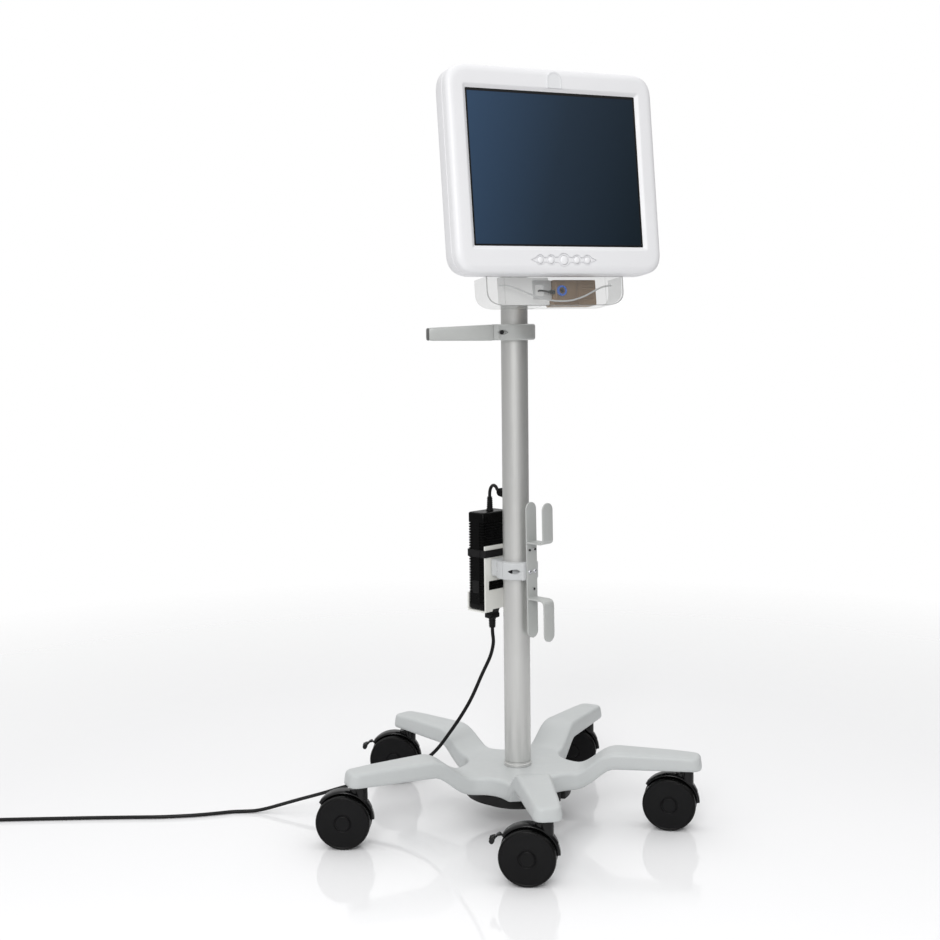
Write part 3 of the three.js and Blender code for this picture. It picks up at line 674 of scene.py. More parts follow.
def leg_skin():
    """The flanks, top and underside of one leg, open where it meets its neighbours."""
    side = leg_side()
    half_tip = LEG_END - LEG_CORNER
    tip = [(Vector((LEG_TIP, -half_tip + 2 * half_tip * i / ACROSS)), Vector((-1, 0)))
           for i in range(1, ACROSS)]
    far = [(Vector((p.x, -p.y)), Vector((n.x, -n.y))) for p, n in reversed(side)]
    outline = side + tip + far
    rows = []
    for inset, share, lift in EDGE:
        row = []
        for p, n in outline:
            q = p + n * inset
            row.append((q.x, q.y, edge_height(q.x, share, lift)))
        rows.append(row)
    count = len(outline)
    verts = [v for row in rows for v in row]
    faces = [(k * count + i, k * count + i + 1, (k + 1) * count + i + 1, (k + 1) * count + i)
             for k in range(len(rows) - 1) for i in range(count - 1)]
    for row in (rows[0], rows[-1]):
        start = len(verts)
        for i in range(len(side)):
            x, y, z = row[i]
            verts += [(x, -abs(y) + 2 * abs(y) * j / ACROSS, z) for j in range(ACROSS + 1)]
        width = ACROSS + 1
        faces += [(start + i * width + j, start + i * width + j + 1, start + (i + 1) * width + j + 1,
                   start + (i + 1) * width + j) for i in range(len(side) - 1) for j in range(ACROSS)]
    return verts, faces


def hub_lid(inset, z):
    """The flat five-sided middle between the legs."""
    p, n = leg_side()[0]
    corner = p + n * inset
    points = []
    for k in range(LEGS):
        spin = turn("Z", LEG_TURN[k])
        for j in range(ACROSS):
            points.append(spin @ Vector((corner.x, corner.y - 2 * corner.y * j / ACROSS, z)))
    return points, [tuple(range(len(points)))]


def make_star():
    leg = leg_skin()
    legs = [moved(leg, turn("Z", a)) for a in LEG_TURN]
    lids = [hub_lid(EDGE[0][0], height(LEG_UNDER, 0)), hub_lid(EDGE[-1][0], height(LEG_TOP, 0))]
    star = new_object("star_casting", merged(*legs, *lids), STAND, "cast")
    star.data.set_sharp_from_angle(angle=math.radians(60))
    settle(star, "root", "cast_paint", "star_base")


def make_ballast():
    def notched(r, notches, depth, width):
        points = []
        for i in range(180):
            a = i * 2
            near = min(abs((a - n + 180) % 360 - 180) for n in notches)
            reach = r - depth if near < width else r
            points.append((reach * math.cos(math.radians(a)), reach * math.sin(math.radians(a))))
        return points
    add("ballast_ring", extruded(notched(102.8, (250, 300, 20, 90, 160), 9, 3), 56.2, 74.6), STAND, "iron",
        "root", "ballast_iron", "ballast_plate", bevel=(1.6,))
    profile = rounded([(10, 45.2), (78, 45.2), (82, 50), (82, 55.8), (10, 55.8)], 2, 3)
    add("ballast_disc", turned([*profile, profile[0]], 96), STAND, "iron", "root", "ballast_iron",
        "ballast_weight")
    head = extruded(ring(11, 6), 38, 44.8)
    washer = disc(14, 43.6, 45.1, 0.5)
    add("centre_bolt_head", merged(head, washer), STAND, "steel", "root", "bright_steel", "centre_bolt",
        bevel=(0.8,))


# ------------------------------------------------------------------ column
TUBE_R = 25.4


def make_column():
    low, high = bottom_of("column_tube"), top_of("column_tube")
    inner = TUBE_R - 3
    profile = [(inner, low), (TUBE_R - 0.5, low), (TUBE_R, low + 0.6), (TUBE_R, high - 0.6),
               (TUBE_R - 0.5, high), (inner, high), (inner, low)]
    add("satin_column", turned(profile, 128), STAND, "tube", "root", "steel_tube", "column_tube")
    foot_low = bottom_of("column_foot")
    profile = [(0, foot_low), (26.0, foot_low), (26.4, foot_low + 0.5), (26.4, foot_low + 5.2),
               (25.7, foot_low + 6), (25.2, foot_low + 6.3), (25.2, foot_low + 7.1), (25.6, foot_low + 7.5),
               (25.6, low - 0.2), (0, low - 0.2)]
    add("foot_collar", turned(profile, 128), STAND, "tube", "root", "steel_tube", "column_foot")


# ------------------------------------------------------------------ casters
WHEEL_R = 50.8
AXLE = (32, 0, 50.8)
WHEEL_ROOM_IN, WHEEL_ROOM_OUT = 4.6, 40        # the hood is cut away here, each side of its web


def caster_place(name):
    """The caster's own frame: the stem at the origin, the wheels trailing along +X, the axle along Y."""
    stem = Vector(joint(f"caster_{name}_swivel")["pos_m"]) / MM
    hub = (middle(f"caster_wheel_{name}_a") + middle(f"caster_wheel_{name}_b")) / 2
    trail = math.degrees(math.atan2(hub.y - stem.y, hub.x - stem.x))
    return Matrix.Translation((stem.x, stem.y, 0)) @ turn("Z", trail)


def wheel_part(side):
    """A moulded wheel: a tread with soft shoulders, a dished face and a raised cap."""
    profile = rounded([(5, 6.5), (47, 6.5), (WHEEL_R, 10.3), (WHEEL_R, 22), (48.6, 25.4), (46.6, 25.4),
                       (45.4, 24.6), (16.5, 24.2), (15.6, 23.2), (14.2, 23.2), (13.4, 25.4), (11, 26),
                       (0, 26)],
                      [0, 2, 3.2, 2.6, 1.6, 0.8, 1.2, 0.6, 0.6, 0.6, 1.2, 1.2, 0], 4, closed=False)
    hole = rounded([(0, 24), (3.2, 24), (5, 19), (5, 6.5)], 0.5, 2, closed=False)
    profile = [*hole[-2:], *profile]
    part = turned(profile, 96, ALONG_Y)
    mirror = Matrix.Scale(side, 4, (0, 1, 0))
    return [mirror @ Vector(v) + Vector(AXLE) for v in part[0]], part[1]


HOOD_FROM, HOOD_TO = 42, 156


def hood_section(angle):
    """The fender's cross-section at an angle above the trailing side: (across, radius) points."""
    ends = min((angle - HOOD_FROM) / 24, (HOOD_TO - angle) / 30, 1)
    half = 10.5 + 3.5 * math.sin(max(ends, 0) * math.pi / 2)
    inner, outer = WHEEL_R + 2.4, WHEEL_R + 7
    corners = [(-half, inner), (half, inner), (half - 0.4, outer - 2.6), (half - 4.5, outer),
               (-half + 4.5, outer), (-half + 0.4, outer - 2.6)]
    return rounded(corners, [0.6, 0.6, 2, 4, 4, 2], 4)


def hood_part():
    rings = []
    for angle in np.linspace(HOOD_FROM, HOOD_TO, 34):
        c, s = math.cos(math.radians(angle)), math.sin(math.radians(angle))
        rings.append([(AXLE[0] + r * c, y, AXLE[2] + r * s) for y, r in hood_section(angle)])
    web = extruded([*arc(AXLE[0], AXLE[2], WHEEL_R + 6, 36, 178, 28),
                    *arc(AXLE[0], AXLE[2], 13, 236, 320, 8)],
                   -4.3, 4.3, ALONG_Y)
    neck = turned(rounded([(0, 72), (10, 72), (13, 80), (13, 104), (12.5, 112), (12.5, 117.2), (0, 117.2)],
                          [0, 3, 3, 6, 2, 0.8, 0], 3, closed=False), 48)
    shoulder = extruded(rectangle(-12.6, 20, -10, 10, 8), 84, 110)
    return loft(rings), web, neck, shoulder


def make_caster(name):
    place = caster_place(name)
    fender, web, neck, shoulder = hood_part()
    hood = new_object(f"hood_{name}", neck, place, "hood")
    core = new_object(f"hood_core_{name}", shoulder, place, "hood")
    for piece in (hood, core):
        for y0, y1 in ((-WHEEL_ROOM_OUT, -WHEEL_ROOM_IN), (WHEEL_ROOM_IN, WHEEL_ROOM_OUT)):
            carve(piece, disc(WHEEL_R + 2, y0, y1, 0, 96, ALONG_Y, AXLE), place)
    join(hood, fender, place)
    join(core, web, place)
    soften(core, 0.6)
    axle = new_object(f"axle_{name}", disc(3.9, -18.5, 18.5, 0, 24, ALONG_Y, AXLE), place, "steel")
    settle(hood, f"caster_{name}", "caster_plastic", f"caster_hood_{name}")
    settle(core, f"caster_{name}", "caster_plastic")
    settle(axle, f"caster_{name}", "bright_steel")
    for letter, side in (("a", 1), ("b", -1)):
        wheel = new_object(f"wheel_{name}_{letter}", wheel_part(side), place, "disc", "tyre")
        axis = place @ Vector(AXLE)
        across = (place.to_3x3() @ Vector((0, 1, 0))).normalized()
        paint_faces(wheel, 1, lambda c: ((c - axis) - across * (c - axis).dot(across)).length > WHEEL_R - 4)
        settle(wheel, f"wheel_{name}_{letter}", "tyre_rubber", f"caster_wheel_{name}_{letter}")
    if name in BRAKED:
        make_pedal(name, place)


def make_pedal(name, place):
    """A lever out of the end of the hood, with a ribbed pad for a toe."""
    lever = [(77, 84.6), (81, 88.4), (86, 86.2), (91.5, 80.8), (94, 77), (91, 75), (88, 79), (84, 83.2)]
    tongue = extruded(rounded(lever, 1.2, 3), -5, 5, ALONG_Y)
    outline = [(89.5, 81.4), (95, 80.4), (99.3, 77.5), (99.3, 73.7), (96.3, 70.3), (92.5, 70.5), (89.2, 75.4)]
    pad = extruded(rounded(outline, 1.8, 4), -11, 11, ALONG_Y)
    add(f"pedal_{name}", merged(tongue, pad), place, "hood", f"brake_{name}", "caster_plastic",
        f"brake_pedal_{name}", bevel=(0.9,))
    ribs = [extruded(ring(0.8, 10, 92.2 + 2.1 * i, 81.1 - 0.8 * i), -8.5, 8.5, ALONG_Y) for i in range(4)]
    add(f"pedal_grip_{name}", merged(*ribs), place, "black", f"brake_{name}", "caster_plastic")


# ------------------------------------------------------------------ push handle
HANDLE_TURN = -17
GRIP = STAND @ turn("Z", HANDLE_TURN)
SEAM, GRIP_END, CAP_END = -41, -162.7, -166.2
SCREW_X = -26


def almond(cx, cz, half_width, half_height, steps=12):
    """A pointed oval about a centre."""
    upper = []
    for i in range(steps):
        share = 1 - 2 * i / steps
        upper.append((cx + half_width * share, cz + half_height * (1 - share * share)))
    lower = [(2 * cx - x, 2 * cz - z) for x, z in upper]
    return [*upper, *lower]


def make_handle():
    low, high = bottom_of("handle_clamp"), top_of("handle_clamp")
    mid = (low + high) / 2
    collar = [(SEAM, -15.5), (-30, -17), *arc(0, 0, 39.5, 220, 500, 47), (-30, 17), (SEAM, 15.5)]
    outline = rounded(collar, [0, 8, *[0] * 48, 8, 0], 5)
    verts, faces = pillow(outline, low, high, 4.2)
    square_end = [(SEAM, y, z) if x < SEAM + 4.3 and abs(y) < 16 else (x, y, z) for x, y, z in verts]
    clamp = new_object("handle_collar", (square_end, faces), GRIP, "silver")
    carve(clamp, disc(TUBE_R + 0.25, low - 5, high + 5, 0, 96), GRIP)
    recess = almond(SCREW_X, mid, 8.6, 5)
    floor = [(x, -14 - 0.55 * (x + 35), z) for x, z in recess]
    carve(clamp, loft([[(x, -60, z) for x, z in recess], floor]), GRIP)
    carve(clamp, disc(4.2, -60, -14, 0, 32, ALONG_Y, (SCREW_X - 0.8, 0, mid)), GRIP)
    carve(clamp, block(31, 45, -1, 17, mid - 5.5, mid + 5.5), GRIP)
    settle(clamp, "root", "silver_paint", "handle_clamp")
    place = GRIP @ Matrix.Translation((SCREW_X - 0.8, 0, mid))
    screw = new_object("handle_screw", disc(4.0, -19, -14.2, 0.6, 24, ALONG_Y), place, "dark_steel")
    carve(screw, extruded(ring(2.0, 6), -20, -16, ALONG_Y), place)
    settle(screw, "root", "bright_steel")
    # A black block at the back of the slot: painted shade for the slot's depth.
    add("handle_slot_plug", block(31.2, 35.6, -0.7, 16.7, mid - 5.2, mid + 5.2), GRIP, "black", "root",
        "black_plastic", bevel=(0.8,))
    make_grip(low, high)


def make_grip(low, high):
    """The tapering bar: a rounded section that shrinks towards the capped end."""
    rings = []
    for i in range(25):
        share = i / 24
        at_end = i in (0, 24)
        x = SEAM - 0.3 + (GRIP_END - SEAM + 0.3) * share
        half = 14.4 - 0.8 * share
        z0, z1 = low - 0.8 + 1.4 * share, high - 0.2 - 4.9 * share
        inset = 0.8 if at_end else 0
        section = rectangle(-half + inset, half - inset, z0 + inset, z1 - inset, 4.6, 6)
        rings.append([(x + (0.8 if i == 23 else 0), y, z) for y, z in section])
    add("handle_grip", loft(rings), GRIP, "silver", "root", "silver_paint", "handle_bar")
    rings = []
    for x, shrink in ((GRIP_END - 0.3, 0.3), (GRIP_END - 1.6, 0.3), (CAP_END + 0.7, 1.2), (CAP_END, 3.0)):
        section = rectangle(-13.4 + shrink, 13.4 - shrink, low + 0.8 + shrink, high - 5.3 - shrink, 4.4, 6)
        rings.append([(x, y, z) for y, z in section])
    add("handle_end_cap", loft(rings), GRIP, "cap", "root", "black_plastic", "handle_cap")


# ------------------------------------------------------------------ accessory clamp and cable hook
CLAMP_BOLT_X = 31.7


def clamp_outline(side, reach):
    """Half of the clamp seen from above, on the side of the split that faces y * side > 0."""
    outline = [*arc(0, 0, 38, 180.4, 232, 12), (-22, -reach), (22, -reach), *arc(0, 0, 38, 308, 359.6, 12)]
    radii = [0] * 12 + [6, 4.5, 4.5, 6] + [0] * 12
    return [(x, y * -side) for x, y in rounded(outline, radii, 5)]


def make_clamp():
    low, high = bottom_of("clamp_hook_half"), top_of("clamp_hook_half")
    mid = (low + high) / 2
    sides = (("left", -1), ("right", 1))
    seats = {name: ARM @ Matrix.Translation((30.5 * way, -15, mid)) @ turn("Z", -12 * way)
             for name, way in sides}
    for name, side, reach in (("hook", -1, 38.6), ("brick", 1, 47.6)):
        half = new_object(f"clamp_{name}_side", pillow(clamp_outline(side, reach), low, high, 2.6), ARM,
                          "clamp")
        carve(half, disc(TUBE_R + 0.25, low - 5, high + 5, 0, 96), ARM)
        for seat_name, way in sides:
            if side < 0:
                carve(half, disc(4.8, -45, 6, 0, 32, ALONG_Y), seats[seat_name])
                scoop = turned([(0, -38), (6.4, -26), (4.6, -8), (0, 6), (0, -38)], 32, ALONG_Y)
                carve(half, scoop, seats[seat_name] @ turn("Z", 34))
            else:
                carve(half, disc(4.8, 15, 60, 0, 32, ALONG_Y, (CLAMP_BOLT_X * way, 0, mid)), ARM)
        settle(half, "root", "cream_paint", f"clamp_{name}_half")
    for name, way in sides:
        bolt = new_object(f"clamp_screw_{name}", disc(4.4, -1, 5.6, 0.8, 28, ALONG_Y), seats[name],
                          "dark_steel")
        carve(bolt, extruded(ring(2.1, 6), -4, 3, ALONG_Y), seats[name])
        settle(bolt, "root", "bright_steel", f"clamp_bolt_{name}")


HOOK_LEAN = -0.9
HOOK_MIDDLE = 495
HOOK_FACE, HOOK_REACH, HOOK_HALF, HOOK_SHEET = 42, 84, 14, 3
RIVET_SPOTS = ((-7.4, 537), (7.4, 537), (3.4, 461))


def strip_part(path, round_start, round_end):
    """A strip of sheet along a path in the (y, z) plane, its ends half-round where asked."""
    lengths = [0]
    for a, b in zip(path, path[1:]):
        lengths.append(lengths[-1] + (Vector(b) - Vector(a)).length)
    total = lengths[-1]
    rings = []
    for i, (y, z) in enumerate(path):
        ahead = (Vector(path[min(i + 1, len(path) - 1)]) - Vector(path[max(i - 1, 0)])).normalized()
        out = Vector((-ahead.y, ahead.x))
        half = HOOK_HALF
        for wanted, along in ((round_start, lengths[i]), (round_end, total - lengths[i])):
            if wanted and along < HOOK_HALF:
                half = min(half, math.sqrt(max(HOOK_HALF ** 2 - (HOOK_HALF - along) ** 2, 0.3)))
        section = rectangle(-half, half, -HOOK_SHEET / 2, HOOK_SHEET / 2, min(0.9, half * 0.4), 3)
        rings.append([(x, y + out.x * t, z + out.y * t) for x, t in section])
    return loft(rings)


def dense(points):
    """A path whose long straight runs are cut into short steps, so the strip can round off at its ends."""
    out = []
    for a, b in zip(points, points[1:]):
        length = (Vector(b) - Vector(a)).length
        steps = max(1, round(length / 1.2)) if length > 20 else 1
        out += [tuple(Vector(a).lerp(Vector(b), s / steps)) for s in range(steps)]
    return [*out, points[-1]]


def make_hook():
    about = Matrix.Translation((0, 0, HOOK_MIDDLE))
    lean = ARM @ about @ turn("Y", HOOK_LEAN) @ about.inverted()
    back = -HOOK_FACE + HOOK_SHEET / 2
    out = -HOOK_REACH + HOOK_SHEET / 2
    spine = dense([(back, 366.5), (back, 628)])
    upper = dense(rounded([(back, 551.5), (out, 551.5), (out, 629.5)], 9, 7, closed=False))
    lower = dense(rounded([(back, 443.5), (out, 443.5), (out, 364.5)], 11, 7, closed=False))
    hook = new_object("hook_strip", strip_part(spine, True, True), lean, "silver")
    holes = [(x, z, 2.2) for x, z in RIVET_SPOTS] + [(x, HOOK_MIDDLE, 2.4) for x in (-7, 7)]
    for x, z, r in holes:
        carve(hook, disc(r, -50, -36, 0, 20, ALONG_Y, (x, 0, z)), lean)
    for path in (upper, lower):
        join(hook, strip_part(path, False, True), lean)
    hook.data.set_sharp_from_angle(angle=math.radians(45))
    settle(hook, "root", "silver_paint", "cable_hook")
    rivets = [disc(2.1, -44.8, -42.3, 0.4, 20, ALONG_Y, (x, 0, z)) for x, z in RIVET_SPOTS]
    add("hook_rivets", merged(*rivets), lean, "dark_steel", "root", "bright_steel")
    for name, x in (("left", -7), ("right", 7)):
        profile = [(0, -44.6), (2.2, -44.4), (3.6, -43.7), (4.4, -42.4), (4.4, -42.05), (0, -42.05)]
        dome = turned(profile, 32, ALONG_Y, (x, 0, HOOK_MIDDLE))
        screw = new_object(f"hook_screw_{name}", dome, lean, "steel")
        for a in (0, 90):
            slot = moved(block(-2.4, 2.4, -46, -43.6, -0.5, 0.5), turn("Y", a + 20))
            carve(screw, slot, lean @ Matrix.Translation((x, 0, HOOK_MIDDLE)))
        settle(screw, "root", "bright_steel")


# ------------------------------------------------------------------ power brick
BRICK_HALF, BRICK_FRONT, BRICK_BACK = 36.5, 52.5, 93.5


def make_bracket():
    y0, y1 = 48.1, 94.6
    w, top = BRICK_HALF, 537
    side_view = [(y0, 406.5), (y1 + 3, 406.5), (y1 + 3, 443), (y1, 443), (y1, 409.5), (y0 + 3, 409.5),
                 (y0 + 3, top), (y0, top)]
    outline = rounded(side_view, [4, 4, 0.8, 0.8, 1.4, 1.4, 0.8, 0.8], 5)
    bracket = new_object("bracket_sheet", extruded(outline, -w, w, ALONG_X), ARM, "cream")
    carve(bracket, extruded(rectangle(-16, 30, y0 - 2, y1 - 6, 1.5), 400, 411.5), ARM)
    carve(bracket, slab((-26, 26, 450, 468, 1.2), y0 - 4, y0 + 4), ARM)
    settle(soften(bracket, 0.8, 2, 50), "root", "cream_paint", "brick_bracket")


def make_brick():
    """A ribbed case: shallow grooves run round it, and the narrow faces carry a smooth panel."""
    low, high = bottom_of("brick_case"), top_of("brick_case")
    x1, y0, y1 = BRICK_HALF - 0.2, BRICK_FRONT + 0.2, BRICK_BACK + 0.6

    def level(z, shrink):
        section = rectangle(-x1 + shrink, x1 - shrink, y0 + shrink, y1 - shrink, 5, 6)
        return [(x, y, z) for x, y in section]
    rings = [level(low, 2.4), level(low + 0.8, 0.9), level(low + 2.4, 0)]
    pitch = 5.3
    first, last = low + 13, high - 16
    groove = ((0, 0), (0.4, 0.4), (0.9, 1.7), (2.0, 1.7), (2.5, 0.4), (2.9, 0))
    count = int((last - first) / pitch)
    for i in range(count):
        z = first + i * pitch
        rings += [level(z + up, inset) for up, inset in groove]
    rings += [level(high - 2.4, 0), level(high - 0.8, 0.8), level(high, 2.4)]
    add("brick_shell", loft(rings), ARM, "black", "root", "black_plastic", "brick_case")
    for name, x in (("left", -x1), ("right", x1)):
        out = math.copysign(0.25, x)
        middle_y = (y0 + y1) / 2
        panel = rectangle(middle_y - 10, middle_y + 10, low + 9, high - 14, 2.5)
        ends = sorted((x - out * 6, x + out))
        add(f"brick_panel_{name}", extruded(panel, *ends, ALONG_X), ARM, "black", "root", "black_plastic",
            bevel=(0.4, 2))
    pad = extruded(rectangle(middle_y - 9, middle_y + 9, 444, 468, 2.5), -x1 - 1.3, -x1, ALONG_X)
    add("brick_blank_pad", pad, ARM, "hood", "root", "black_plastic", bevel=(0.5, 2))
    seam = extruded(rectangle(-x1 + 3, x1 - 3, y0 + 3, y1 - 3, 3), high - 0.4, high + 0.3)
    add("brick_lid", seam, ARM, "black", "root", "black_plastic", bevel=(0.4, 2))
    make_strap()


def make_strap():
    """An elastic band, closed with an overlapping end."""
    low, high = bottom_of("brick_strap") + 0.2, top_of("brick_strap") - 0.2
    x, y0, y1 = BRICK_HALF + 0.15, 47.9, BRICK_BACK + 0.15
    inner = rectangle(-x, x, y0, y1, 1.2, 5)
    outer = rectangle(-x - 1.7, x + 1.7, y0 - 1.7, y1 + 1.7, 3.6, 5)
    add("strap_band", hoop(inner, outer, low + 0.4, high - 0.4, UPRIGHT), ARM, "strap", "root", "cord_rubber",
        "brick_strap", bevel=(0.5, 2, 60))
    flap = extruded(rectangle(60, 82, low + 1.2, high - 1.2, 1.2), -x - 2.9, -x - 1.7, ALONG_X)
    add("strap_tail", flap, ARM, "strap", "root", "cord_rubber", bevel=(0.4, 2))


def ribbed_relief(z0, z1, r0, r1, ribs):
    """A tapering strain relief with rings cut into it, from the housing outwards."""
    profile = [(0, z0), (r0 + 0.8, z0), (r0 + 0.8, z0 + (z1 - z0) * 0.08)]
    for i in range(ribs):
        a = 0.12 + 0.84 * i / ribs
        for share, dip in ((0, 0), (0.45, 0), (0.55, 0.9), (0.9, 0.9)):
            t = a + share * 0.84 / ribs
            profile.append((r0 + (r1 - r0) * t - dip, z0 + (z1 - z0) * t))
    return [*profile, (r1, z1 - (z1 - z0) * 0.02), (r1 - 0.4, z1), (0, z1)]


def make_leads():
    z = top_of("brick_case")
    relief = turned(ribbed_relief(z + 0.2, z + 27, 6.4, 5.4, 6), 32, UPRIGHT, (5.5, 75, 0))
    add("lead_boot", relief, ARM, "jacket", "root", "black_plastic", "lead_relief")
    route = [(5.5, 75, z + 24), (5.5, 75, z + 30), (5.4, 74.4, z + 37), (5, 71.6, z + 44),
             (4.2, 66.4, z + 49), (3, 60.6, z + 50.6), (1.6, 54.6, z + 48.8), (0.4, 49, z + 43.6),
             (0, 44, z + 39)]
    lead = swept(through(route, 1.5), ring(3.2, 20), (1, 0, 0))
    add("lead_loop", lead, ARM, "jacket", "root", "cord_rubber", "brick_lead")
    socket = (0, 0, 640)
    profile = rounded([(0, 24.5), (5, 24.5), (5, 25.9), (10.8, 25.9), (11, 30), (9.4, 31), (8.8, 33),
                       (6.8, 45), (4, 46.6),
                       (0, 46.6)], [0, 0.4, 0, 1, 1.6, 1, 1.5, 2, 0.4, 0], 3, closed=False)
    plug = turned(profile, 40, ALONG_Y, socket)
    ridges = [turned([(r + 0.5, y), (r + 0.9, y + 0.4), (r + 0.9, y + 1.2), (r + 0.5, y + 1.6),
                      (r - 1, y + 0.8),
                      (r + 0.5, y)], 40, ALONG_Y, socket) for r, y in ((8.2, 34), (7.7, 37.4), (7.1, 40.8))]
    add("column_socket_plug", merged(plug, *ridges), ARM, "black", "root", "black_plastic", "column_plug")


def make_connector():
    """The moulded appliance connector under the brick, its grip waisted and its boot tapered."""
    centre = (4, 70)
    top = bottom_of("brick_case") - 0.2
    levels = ((top, 14, 9, 3), (top - 4, 14, 9, 3), (top - 8, 12.6, 8.4, 3.5), (top - 12, 12.2, 8.2, 4),
              (top - 14, 13.6, 8.8, 4), (top - 21, 13.8, 8.8, 4), (390.4, 13.4, 8.4, 4), (389.2, 11, 7.4, 4))
    rings = [[(centre[0] + x, centre[1] + y, z) for x, y in rectangle(-a, a, -b, b, r, 5)]
             for z, a, b, r in levels]
    body = loft(rings)
    boot = turned([(r, -h) for r, h in ribbed_relief(-390.5, -370, 7.4, 6.6, 4)], 32, UPRIGHT, (*centre, 0))
    connector = new_object("appliance_connector", merged(body, boot), ARM, "jacket")
    connector.data.set_sharp_from_angle(angle=math.radians(30))
    return settle(connector, "root", "black_plastic", "cord_connector")


def make_cord(connector):
    """The whole mains lead as one curve: down, out over the floor, round the coil and into its plug."""
    route = through(CORD_ROUTE, 6)
    end = Vector(CORD_ROUTE[-1])
    heading = (end - Vector(CORD_ROUTE[-2])).normalized()
    path = [*route, *coil_path(end, heading)]
    data = bpy.data.curves.new("mains_lead", "CURVE")
    data.dimensions = "3D"
    data.bevel_depth = CORD_R * MM
    data.bevel_resolution = 5
    data.use_fill_caps = True
    spline = data.splines.new("POLY")
    spline.points.add(len(path) - 1)
    for point, p in zip(spline.points, path):
        point.co = (*((STAND @ p) * MM), 1)
    data.materials.append(MATERIALS["jacket"])
    lead = bpy.data.objects.new("mains_lead", data)
    bpy.context.scene.collection.objects.link(lead)
    settle(lead, "root", "cord_rubber", "mains_cord", "mains_coil")
    plug = make_plug(path)


def make_plug(path):
    """A moulded mains plug that lies on the floor: ribbed boot, waisted grip, two blades and an earth pin."""
    exit_heading = (path[-1] - path[-2]).normalized()
    yaw = math.degrees(math.atan2(exit_heading.y, exit_heading.x))
    start = path[-1] + exit_heading * 0.2
    place = STAND @ Matrix.Translation((start.x, start.y, 12.1)) @ turn("Z", yaw)
    boot = turned(ribbed_relief(-18, -0.2, 6.8, 4.2, 4), 32, Matrix.Scale(-1, 4, (1, 0, 0)) @ ALONG_X)
    levels = ((17.4, 7, 7, 4), (19, 10, 9, 5), (24, 12, 10.4, 5), (31, 12.6, 10.8, 5), (38, 13.6, 11.4, 5),
              (44, 14, 11.8, 5), (48.6, 14, 11.8, 5), (49.8, 13, 10.8, 4.4))
    rings = [[(x, y, z) for y, z in rectangle(-a, a, -b, b, r, 6)] for x, a, b, r in levels]
    plug = new_object("moulded_plug", merged(loft(rings), boot), place, "jacket")
    settle(plug, "root", "black_plastic", "mains_plug")
    blades = [extruded(rounded([(49, -1), (66, -1), (66, 5), (49, 5)], [0, 1.2, 1.2, 0], 3), -0.8, 0.8,
                       Matrix.Translation((0, y, 0)) @ ALONG_Y) for y in (-6.3, 6.3)]
    pin = moved(disc(2.4, 49, 68, 1.2, 24), Matrix.Translation((0, 0, -6.5)) @ ALONG_X)
    pins = new_object("plug_pins", merged(*blades, pin), place, "steel")
    settle(pins, "root", "bright_steel")
    pins.parent = plug
    pins.matrix_parent_inverse = plug.matrix_world.inverted()
    return plug


# ------------------------------------------------------------------ head
TILT_Y, TILT_Z = -70.93, 1220.6
TILT_AXIS = (0, TILT_Y, TILT_Z)


def make_head():
    axis = STAND
    low, high = bottom_of("head_bush"), bottom_of("swivel_head")
    profile = [(0, low), (26.6, low), (27.6, low + 0.9), (27.6, high - 1.3), (26.8, high - 0.4),
               (9, high - 0.4), (9, 1199.5), (8, 1200.3), (0, 1200.3)]
    add("head_bearing", turned(profile, 96), axis, "black", "root", "black_plastic", "head_bush",
        bevel=(0.4, 2))
    low, high = 1186.4, 1238.4
    hub = turned(rounded([(9.4, low), (30, low), (30, high), (0, high), (0, 1201), (9.4, 1201), (9.4, low)],
                         [0, 3, 5, 0, 0, 0, 0], 5, closed=False), 96)
    head = new_object("swivel_hub", hub, axis, "cream")
    neck = [[(x, y, z + TILT_Z) for x, z in rectangle(-a, a, -b, b, 5, 6)]
            for y, a, b in ((-6, 24.8, 15.8), (-30, 24.8, 15.8), (-45, 24.8, 14.8), (-51, 24.4, 12.5))]
    join(head, loft(neck), axis)
    for x0, x1 in ((-24.8, -16.2), (16.2, 24.8)):
        ear = extruded([*arc(TILT_Y, TILT_Z, 14.8, 70, 290, 28), (-44, 1206.7), (-44, 1234.5)], x0, x1,
                       ALONG_X)
        join(head, ear, axis)
    carve(head, disc(6.2, -40, 40, 0, 32, ALONG_X, TILT_AXIS), axis)
    settle(soften(head, 1.6, 3, 50), "head", "cream_paint", "swivel_head")
    pin = turned(rounded([(0, -29), (9, -29), (9, -25.4), (5.8, -25.4), (5.8, 25.4), (9, 25.4), (9, 29),
                          (0, 29)],
                         [0, 1.2, 0.4, 0, 0, 0.4, 1.2, 0], 3, closed=False), 40, ALONG_X, TILT_AXIS)
    pin_piece = new_object("tilt_bolt", pin, axis, "steel")
    for side in (-1, 1):
        carve(pin_piece, extruded(ring(3, 6), *sorted((side * 26.5, side * 31)), ALONG_X),
              axis @ Matrix.Translation(TILT_AXIS))
    settle(pin_piece, "head", "bright_steel", "tilt_pin")


def join(piece, part, place):
    """Adds a part to a piece and merges the two into one closed body."""
    other = new_object("addition", part, place)
    add = piece.modifiers.new("add", "BOOLEAN")
    add.object = other
    add.operation = "UNION"
    add.solver = "EXACT"
    bake_modifiers(piece)
    bpy.data.objects.remove(other)
    shade(piece.data)


SCREW_SPOTS = [(x, z) for x in (-50, 50) for z in (-50, 50)]


